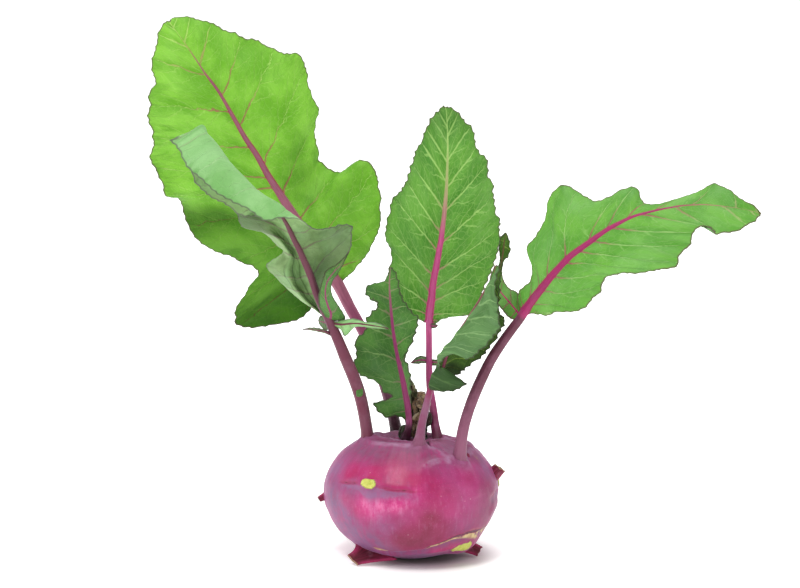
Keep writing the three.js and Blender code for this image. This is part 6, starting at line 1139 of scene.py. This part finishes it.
def make_stub(name, st, mat):
    foot, tip = np.array(st["foot"], float), np.array(st["tip"], float)
    along = tip - foot
    L = np.linalg.norm(along)
    axis = along / L
    m, seed = 72, sum(map(ord, name)) % 91
    th = np.linspace(0, 2 * np.pi, m, endpoint=False)
    cs, sn = np.cos(th), np.sin(th)
    rows, cut, rim, upv, al = [], [], [], [], []
    side = np.cross(st["footHalf"], axis)
    if side[2] < 0:
        side = -side
    nfirst = side
    us = [(-0.10, 1.0)] + [(x, 1.0) for x in np.linspace(0, 1, 34)] + [(1.012, 0.97), (1.012, 0.92), (1.0, 0.86), (0.985, 0.78), (0.975, 0.66), (0.97, 0.5), (0.97, 0.34), (0.972, 0.18)]
    for i, (u, sc) in enumerate(us):
        ease = (1 - min(u, 1.0)) ** 1.6 if u >= 0 else 1.0
        half = np.array(st["tipHalf"]) * (1 - ease) + np.array(st["footHalf"]) * ease
        t = st["thick"][1] + (st["thick"][0] - st["thick"][1]) * ease
        nn = np.cross(half, axis); nn /= np.linalg.norm(nn)
        if nn @ side < 0:
            nn = -nn
        side = nn
        y = sn * t * np.where(sn > 0, 1 - 0.62 * sn * sn, 1.0)
        y = y * (1 + 0.07 * np.cos(7 * th + seed))
        if sc < 0.95:    # a ragged cut, not a flat one
            wob = 0.35 * vnoise(np.stack([cs * sc * 3, sn * sc * 3, 0 * cs + seed], 1), 1.3, seed)
        else:
            wob = 0.30 * vnoise(np.stack([cs * 3, sn * 3, 0 * cs + seed], 1), 1.3, seed) * smooth(u, 0.8, 1.0)
        p = foot + along * u + (cs * sc)[:, None] * half + (y * sc)[:, None] * nn + wob[:, None] * axis
        rows.append(p)
        cut.append(1.0 if sc < 0.93 else 0.0); rim.append(1.0 if 0.9 < sc < 0.99 or (sc == 1.0 and u > 0.985) else 0.0)
        upv.append((sn > 0.15) * 1.0); al.append(np.clip(u, 0, 1))
    V = np.array(rows)
    n = len(V)
    V = V + 0.10 * vnoise(V, 0.9, seed + 2)[..., None] * unit(V - foot - along * 0.5)
    V[..., 2] = np.maximum(V[..., 2], 0.12)
    Vv = np.concatenate([V.reshape(-1, 3), [V[0].mean(0)], [V[-1].mean(0)]])
    idx = np.arange(n * m).reshape(n, m); r2 = np.roll(idx, -1, 1)
    ccw = np.cross(st["footHalf"], nfirst) @ axis > 0
    f = np.stack([idx[:-1].ravel(), r2[:-1].ravel(), r2[1:].ravel(), idx[1:].ravel()], 1)
    if not ccw:
        f = f[:, ::-1]
    f = f.tolist()
    c0, c1 = n * m, n * m + 1
    for j in range(m):
        j2 = (j + 1) % m
        a_, b_ = ([c0, idx[0, j2], idx[0, j]], [c1, idx[-1, j], idx[-1, j2]])
        f.append(a_ if ccw else a_[::-1]); f.append(b_ if ccw else b_[::-1])
    rep = lambda x: np.concatenate([np.repeat(x, m), [x[0]], [x[-1]]])
    at = dict(cut=rep(cut), rim=rep(rim), along=rep(al), wx=np.concatenate([np.tile(cs, n), [0, 0]]), up=np.concatenate([np.concatenate(upv), [0, 0]]))
    ob = make_mesh("stub_" + name, Vv, f, at, mat)
    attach(ob, "root"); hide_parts(name)
    return ob

def heart_material(name, c1, c2, c3):
    g = Nodes(name)
    o = g.obj()
    n = g.noise(o, 600.0, 4.0, 0.7)
    col = g.mix(g.smooth(n, 0.3, 0.7), c1, c2)
    col = g.mix(g.mul(g.smooth(g.noise(o, 240.0, 2.0, 0.5), 0.5, 0.7), 0.7), col, c3)
    g.set("Base Color", col)
    g.set("Roughness", 0.78)
    g.set("Specular IOR Level", 0.25)
    g.set("Sheen Weight", 0.3)
    g.set("Normal", g.bump(n, 0.0008, 0.8))
    return g.mat

HEART = {
  "heart_leaf_curled": [
    dict(path=[[2.6, 8.5, 54.0, 1.3], [3.4, 8.2, 62, 0.9], [5.0, 7.6, 67, 1.0], [6.6, 7, 71.5, 1.7], [5.4, 6.6, 75.0, 1.6], [3.6, 6.2, 76.4, 0.5]], flat=0.62),
    dict(path=[[7.8, 5.8, 68.0, 0.3], [7.4, 5.4, 71.0, 1.1], [6.4, 5.0, 73.6, 1.5], [4.6, 5.0, 75.2, 1.0], [3.2, 5.4, 74.6, 0.3]], flat=0.5),
    dict(path=[[2.8, 6.4, 72.4, 0.3], [4.4, 5.6, 70.6, 1.1], [6.2, 5.2, 69.8, 1.0], [7.8, 5.4, 70.8, 0.3]], flat=0.5),
    dict(path=[[0.6, 6.0, 61.0, 0.3], [2.0, 5.2, 63.4, 0.9], [4.2, 4.8, 65.0, 1.1], [6.4, 4.8, 66.8, 0.8], [7.8, 5.0, 69.2, 0.3]], flat=0.45),
    dict(path=[[5.4, 5.8, 59.0, 0.4], [4.4, 5.0, 62.0, 0.8], [5.2, 4.6, 65.2, 0.9], [4.4, 4.8, 68.4, 0.4]], flat=0.6),
    dict(path=[[1.6, 6.6, 66.0, 0.3], [2.2, 6.0, 68.0, 0.9], [1.6, 6.0, 70.4, 1.0], [2.2, 6.2, 72.8, 0.3]], flat=0.5),
    dict(path=[[3.4, 8.8, 62.0, 0.5], [4.0, 8.9, 65.6, 1.5], [4.6, 8.7, 69.6, 1.7], [4.0, 8.6, 73.4, 1.2], [3.0, 8.6, 75.6, 0.3]], flat=0.42),
    dict(path=[[1.4, 8.6, 56.0, 0.6], [1.6, 8.6, 60.0, 1.3], [2.0, 8.4, 63.6, 1.2], [2.2, 8.2, 66.4, 0.4]], flat=0.42)],
  "heart_leaf_upright": [
    dict(path=[[-1.2, 11.5, 53.8, 1.3], [0.2, 11.4, 62, 0.9], [1.4, 11.2, 70, 0.9], [1.2, 11.0, 76, 1.1], [-0.6, 10.8, 80, 0.5]], flat=0.5),
    dict(path=[[2.6, 9.6, 71.0, 0.3], [1.8, 9.0, 74.4, 1.1], [0.4, 8.6, 78.4, 1.3], [-1.2, 8.4, 82.0, 1.1], [-2.6, 8.4, 85.6, 0.3]], flat=0.45),
    dict(path=[[0.4, 8.8, 71.6, 0.3], [-0.2, 8.4, 75.0, 0.8], [-1.4, 8.2, 78.6, 0.8], [-2.4, 8.2, 81.6, 0.3]], flat=0.5),
    dict(path=[[-0.8, 9.4, 62.0, 0.3], [0.2, 8.8, 65.6, 0.9], [0.6, 8.6, 69.0, 0.9], [0.2, 8.6, 71.6, 0.3]], flat=0.5)],
  "heart_leaf_small": [
    dict(path=[[6.4, 9.4, 53.6, 1.2], [7.4, 9.6, 60.5, 0.9], [8.2, 9.6, 63.6, 1.5], [8.4, 9.4, 66.8, 0.4]], flat=0.6),
    dict(path=[[6.6, 8.0, 59.6, 0.3], [7.4, 7.6, 61.8, 1.3], [8.4, 7.4, 64.2, 1.0], [9.0, 7.4, 65.8, 0.3]], flat=0.45),
    dict(path=[[-3.8, 5.6, 54.4, 1.4], [-4.6, 5.2, 57.0, 1.1], [-3.8, 5.0, 59.4, 0.9], [-2.6, 5.0, 61.0, 0.3]], flat=0.7),
    dict(path=[[-1.2, 4.6, 55.0, 1.0], [-0.8, 4.2, 57.2, 0.9], [0.4, 4.2, 59.0, 0.3]], flat=0.7)],
}

def make_heart(name, scraps, mat):
    parts = []
    for q, d in enumerate(scraps):
        pts = resample(d["path"], 0.3)
        seed = (sum(map(ord, name)) + 13 * q) % 83
        def section(th, i):
            crumple = 0.34 * vnoise(np.stack([np.cos(th) * 1.5 + 0 * i, np.sin(th) * 1.5 + 0 * i, i * 0.24 + 0 * th], -1), 0.8, seed)
            lobes = 0.26 * np.cos(3 * th + 0.09 * i) + 0.10 * np.cos(7 * th + 0.2 * i)
            return (1 + crumple + lobes) * np.sqrt(np.cos(th) ** 2 + (d["flat"] * np.sin(th)) ** 2)
        pts[:, 3] *= 1.5
        wig = pts[:, :3] + (0.25 if q == 0 else 0.45) * np.stack([vnoise(pts[:, :3], 1.8, seed + k) for k in range(3)], 1)
        turn = math.radians(70 * q + seed)
        parts.append(sweep_data(wig, pts[:, 3], 28, section, {}, (math.sin(turn), -math.cos(turn), 0.2)))
    ob = make_mesh("young_" + name, *merge_data(parts), mat)
    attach(ob, "root"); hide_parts(name)
    return ob

def make_knob(mat):
    c = np.array([26.2, -15.0, 50.6]); ax = unit(np.array([0.62, -0.38, 0.68]))
    pts = np.array([c - ax * 1.6, c - ax * 0.4, c + ax * 0.7, c + ax * 1.2])
    q = resample(np.concatenate([pts, np.array([[1.9], [1.75], [1.25], [0.5]])], 1), 0.12)
    ob = sweep("bud_knob_mesh", q[:, :3], q[:, 3], 28, lambda th, i: 1 + 0.06 * np.cos(4 * th + i * 0.1), {}, mat)
    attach(ob, "root"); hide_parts("bud_knob")
    return ob

# ---------------------------------------------------------------- make everything
# Painted shade on the blades: each function returns 1 where a blade keeps its colour and less where the colour is
# darkened to stand for shade.
def painted_light_back_left(a, t, P):
    left = smooth(-t, 0.02, 0.10)
    low = 1 - smooth(a, 8.2, 9.2)
    pocket_shade = np.exp(-((a - 9.0) / 0.6) ** 2) * smooth(-t, 0.25, 0.7)
    deep = 1 - smooth(a, 3.2, 5.6)
    right_fold = np.exp(-((a - 7.6) / 1.3) ** 2) * smooth(t, 0.45, 0.95)
    lower_right = smooth(t, 0.0, 0.2) * (1 - smooth(a, 9.0, 12.0)) * (1 - smooth(t, 0.55, 0.85))
    # painted shade on the left lower lobe, in the pocket under the left fold, on the right fold and on the lower right
    # half
    return 1 - left * low * (0.56 + 0.42 * deep) - 0.6 * pocket_shade - 0.10 * right_fold - 0.22 * lower_right

def painted_light_front_left(a, t, P):
    curl = smooth(a, 7.4, 8.6) * (1 - smooth(a, 11.5, 13.0)) * smooth(-t, 0.3, 0.8)
    low = 1 - smooth(a, 8.0, 10.0)
    pleat = 0
    for t0, w0, a0, a1 in ((-0.22, 0.014, 0.5, 10.5), (-0.45, 0.014, 0.5, 10.5), (-0.70, 0.012, 0.5, 6.5)):
        pleat = np.maximum(pleat, np.exp(-((t - t0 - 0.012 * np.sin(a * 1.1)) / w0) ** 2) * smooth(a, a0, a0 + 1.5) * (1 - smooth(a, a1 - 2.5, a1)))
    cup = np.exp(-((a - 8.4) / 1.4) ** 2) * np.exp(-((t - 0.72) / 0.16) ** 2)
    right = smooth(t, 0.0, 0.1) * (1 - smooth(a, 9.5, 12.0))
    # painted shade in the left curl, along the pleats of the lower left half, in the cup and on the right half
    return 1 - 0.6 * curl - 0.8 * pleat * low - 0.20 * cup - 0.34 * right

def painted_light_front(a, t, P):
    # painted shade on the lower part of the blade
    return 1 - 0.84 * (1 - smooth(a, 4.0, 5.6)) + 0 * t

def painted_light_back(a, t, P):
    # painted shade towards the top of the blade
    return 1 - 0.32 * smooth(P[..., 2], 184, 204) + 0 * t

def painted_light_leaflet(a, t, P):
    # painted shade: the whole turned-over leaflet is darkened
    return 0.68 + 0 * a + 0 * t

def painted_light_centre(a, t, P):
    # painted shade on the left half of the blade
    return 1 - 0.22 * smooth(-t, -0.05, 0.1) + 0 * a

MAT = dict(
  bright=leaf_material("leaf_bright", lin(92, 157, 27), lin(128, 191, 59), lin(98, 146, 74), lin(122, 166, 92), lin(164, 210, 100), lin(160, 190, 120), lin(156, 14, 80), red=0.9, redlen=24.0, net=0.62, edge=lin(84, 52, 60), spread=8.0),
  mid=leaf_material("leaf_mid", lin(64, 125, 32), lin(96, 155, 52), lin(98, 134, 84), lin(118, 152, 102), lin(164, 206, 112), lin(160, 188, 130), lin(182, 48, 116), red=0.75, redlen=8.0, net=0.9, wax=0.26, waxcol=lin(104, 152, 84), edge=lin(86, 66, 58), spread=7.0),
  right=leaf_material("leaf_right", lin(76, 142, 42), lin(106, 170, 60), lin(96, 138, 82), lin(118, 158, 98), lin(158, 202, 116), lin(160, 188, 130), lin(162, 30, 92), red=0.95, redlen=11.0, net=0.62, wax=0.28, waxcol=lin(132, 184, 112), edge=lin(96, 58, 66), spread=7.0),
  dark=leaf_material("leaf_dark", lin(54, 102, 38), lin(84, 136, 56), lin(78, 112, 66), lin(100, 134, 86), lin(134, 170, 100), lin(134, 164, 112), lin(146, 58, 104), red=0.6, redlen=7.0, net=0.8, wax=0.25, waxcol=lin(112, 150, 106), edge=lin(66, 52, 48)),
  waxy=leaf_material("leaf_waxy", lin(110, 168, 90), lin(144, 194, 124), lin(102, 135, 76), lin(135, 166, 107), lin(160, 204, 138), lin(112, 100, 88), lin(104, 34, 62), rib_under=lin(110, 46, 74), red=0.6, redlen=16.0, net=0.35, wax=0.5, waxcol=lin(150, 196, 136), sheen=0.08, edge=lin(84, 70, 74), shade=(0.06, 0.07, 0.04, 1), spread=9.0),
  # fold material: its upper-side colours are dark as painted shade, for the inner face seen down inside the fold
  fold=leaf_material("leaf_fold_painted_shade", lin(38, 72, 10), lin(60, 96, 22), lin(72, 110, 58), lin(94, 134, 78), lin(120, 156, 60), lin(138, 176, 112), lin(80, 18, 38), rib_under=lin(120, 60, 84), red=0.4, redlen=6.0, net=0.6, wax=0.22, waxcol=lin(140, 172, 134), wax_up=0.0, sheen=0.02, edge=lin(52, 46, 34), shade=(0.18, 0.24, 0.13, 1)),
)
objs = []
objs.append(make_blade("blade_back_left", MAT["bright"], painted_light_back_left, waves=[("right", 7.0, 10.5, 1.6, 1.5, 0.4), ("left", 7.2, 10.5, 2.2, 1.0, 0.45)]))
objs.append(make_blade("blade_front_left", MAT["waxy"], painted_light_front_left))
objs.append(make_blade("blade_centre_left", MAT["dark"], painted_light_centre))
objs.append(make_blade("blade_back", MAT["mid"], painted_light_back))
objs.append(make_blade("blade_front", MAT["fold"], painted_light_front))
objs.append(make_blade("blade_right", MAT["right"]))
for nm_, mt in (("leaflet_front_left_1", "dark"), ("leaflet_front_left_2", "waxy"), ("leaflet_front_left_3", "waxy"), ("leaflet_front_left_4", "dark"),
                ("leaflet_right_1", "right"), ("leaflet_back_1", "dark"), ("leaflet_back_2", "dark"), ("leaflet_back_3", "dark")):
    objs.append(make_blade(nm_, MAT[mt], painted_light_leaflet if nm_ == "leaflet_right_1" else None, swap=nm_ == "leaflet_right_1"))

S_MAG = stalk_material("stalk_magenta", lin(52, 3, 26), lin(82, 7, 46), lin(160, 50, 106), lin(194, 78, 134), lin(196, 120, 168), 0.2, pale=lin(150, 190, 96))
S_DARK = stalk_material("stalk_dark", lin(36, 2, 16), lin(60, 8, 32), lin(160, 72, 112), lin(176, 102, 126), lin(180, 130, 158), 0.22, pale=lin(140, 186, 84))
S_FRONT = stalk_material("stalk_front", lin(124, 66, 96), lin(128, 70, 98), lin(130, 58, 92), lin(136, 32, 80), lin(146, 104, 130), 0.45, pale=lin(140, 186, 84))
S_CEN = stalk_material("stalk_centre", lin(30, 2, 14), lin(40, 4, 22), lin(70, 10, 42), lin(148, 52, 104), lin(170, 110, 146), 0.3, pale=lin(140, 176, 96))
S_PUR = stalk_material("stalk_purple", lin(110, 40, 70), lin(108, 41, 60), lin(99, 43, 57), lin(92, 44, 58), lin(136, 94, 112), 0.3, pale=lin(62, 108, 38), painted_shade_side=0.45)
S_RIGHT = stalk_material("stalk_right", lin(122, 62, 90), lin(140, 80, 108), lin(96, 44, 62), lin(160, 32, 96), lin(146, 92, 118), 0.35, pale=lin(150, 186, 100), painted_shade_side=0.4, high_from=0.965)
for pn, bn, mt in (("petiole_back_left", "blade_back_left", S_DARK), ("petiole_front_left", "blade_front_left", S_PUR), ("petiole_centre_left", "blade_centre_left", S_CEN),
                   ("petiole_back", "blade_back", S_MAG), ("petiole_front", "blade_front", S_FRONT), ("petiole_right", "blade_right", S_RIGHT)):
    objs.append(make_stalk(pn, bn, mt))
objs.append(bulb())
M_STUB = stub_material()
for k_, st_ in STUBS.items():
    objs.append(make_stub(k_, st_, M_STUB))
M_DRY = heart_material("heart_dry", lin(66, 42, 24), lin(128, 104, 72), lin(206, 190, 156))
M_GREEN = heart_material("heart_green", lin(58, 62, 34), lin(104, 108, 68), lin(150, 136, 104))
# painted shade: the small young leaves deep in the heart are given near-black colours
M_TINY_SHADED = heart_material("heart_tiny_painted_shade", lin(30, 30, 16), lin(48, 68, 32), lin(58, 12, 30))
objs.append(make_heart("heart_leaf_curled", HEART["heart_leaf_curled"], M_DRY))
objs.append(make_heart("heart_leaf_upright", HEART["heart_leaf_upright"], M_GREEN))
objs.append(make_heart("heart_leaf_small", HEART["heart_leaf_small"], M_TINY_SHADED))
objs.append(make_knob(M_STUB))

for ob in objs:
    check_closed(ob)

# ---------------------------------------------------------------- stage, light, camera
def stage():
    me = bpy.data.meshes.new("floor")
    s = 12.0
    me.from_pydata([(-s, -s, 0), (s, -s, 0), (s, s, 0), (-s, s, 0)], [], [(0, 1, 2, 3)])
    fl = bpy.data.objects.new("floor", me)
    bpy.context.scene.collection.objects.link(fl)
    g = Nodes("floor_pale_painted_shadow")
    g.set("Roughness", 0.65)
    g.set("Specular IOR Level", 0.25)
    far = g.t.nodes.new("ShaderNodeVectorMath")
    far.operation = "LENGTH"
    g.put(far.inputs[0], g.vadd(g.obj(), (-0.007, 0.001, 0.0), 1.0))
    dist = far.outputs["Value"]
    # painted shadow: the floor's colour is darker within about 2 cm of a point just right of the bulb's centre
    g.set("Base Color", g.mix(g.smooth(dist, 0.024, 0.014), (0.93, 0.945, 0.925, 1), (0.40, 0.39, 0.38, 1)))
    g.set("Emission Color", (1.0, 1.0, 1.0, 1))
    # the floor glows only beyond about 2 cm from that point, so the glow leaves the contact shadow dark and whitens the
    # floor further out
    g.set("Emission Strength", g.add(g.mul(g.smooth(dist, 0.021, 0.040), 0.42), g.mul(g.smooth(dist, 0.050, 0.30), 0.38)))
    me.materials.append(g.mat)
    w = bpy.data.worlds.new("studio")
    bpy.context.scene.world = w
    w.use_nodes = True
    bg = w.node_tree.nodes["Background"]
    bg.inputs[0].default_value = (1.0, 1.0, 1.0, 1)
    bg.inputs[1].default_value = 0.46

    def area(name, loc, target, size, energy, color=(1, 1, 1)):
        d = bpy.data.lights.new(name, "AREA")
        d.shape, d.size, d.energy, d.color = "DISK", size, energy, color
        o = bpy.data.objects.new(name, d)
        bpy.context.scene.collection.objects.link(o)
        o.location = loc
        o.rotation_euler = (Vector(target) - Vector(loc)).to_track_quat("-Z", "Y").to_euler()
        return o
    area("key", (-0.45, -0.82, 1.76), (0, 0, 0.09), 0.50, 14.8)
    area("fill_right", (1.2, -0.6, 0.55), (0, 0, 0.1), 0.8, 3.2)
    area("fill_left", (-1.25, -0.2, 0.55), (0, 0, 0.1), 0.8, 3.2)
    area("top", (0.1, 0.35, 1.5), (0, 0, 0.1), 0.9, 9.0)
stage()

cam = bpy.data.cameras.new("camera")
cam.lens, cam.sensor_width, cam.sensor_fit = 113.924, 36.0, "HORIZONTAL"
cam.clip_end = 50
co = bpy.data.objects.new("camera", cam)
bpy.context.scene.collection.objects.link(co)
co.location = (-4.977 * MM, -1164.355 * MM, 318.806 * MM)
co.rotation_euler = (math.radians(90 - 9.4718), 0, 0)
bpy.context.scene.camera = co
sc = bpy.context.scene
sc.view_settings.view_transform = "Standard"
sc.view_settings.look = "None"
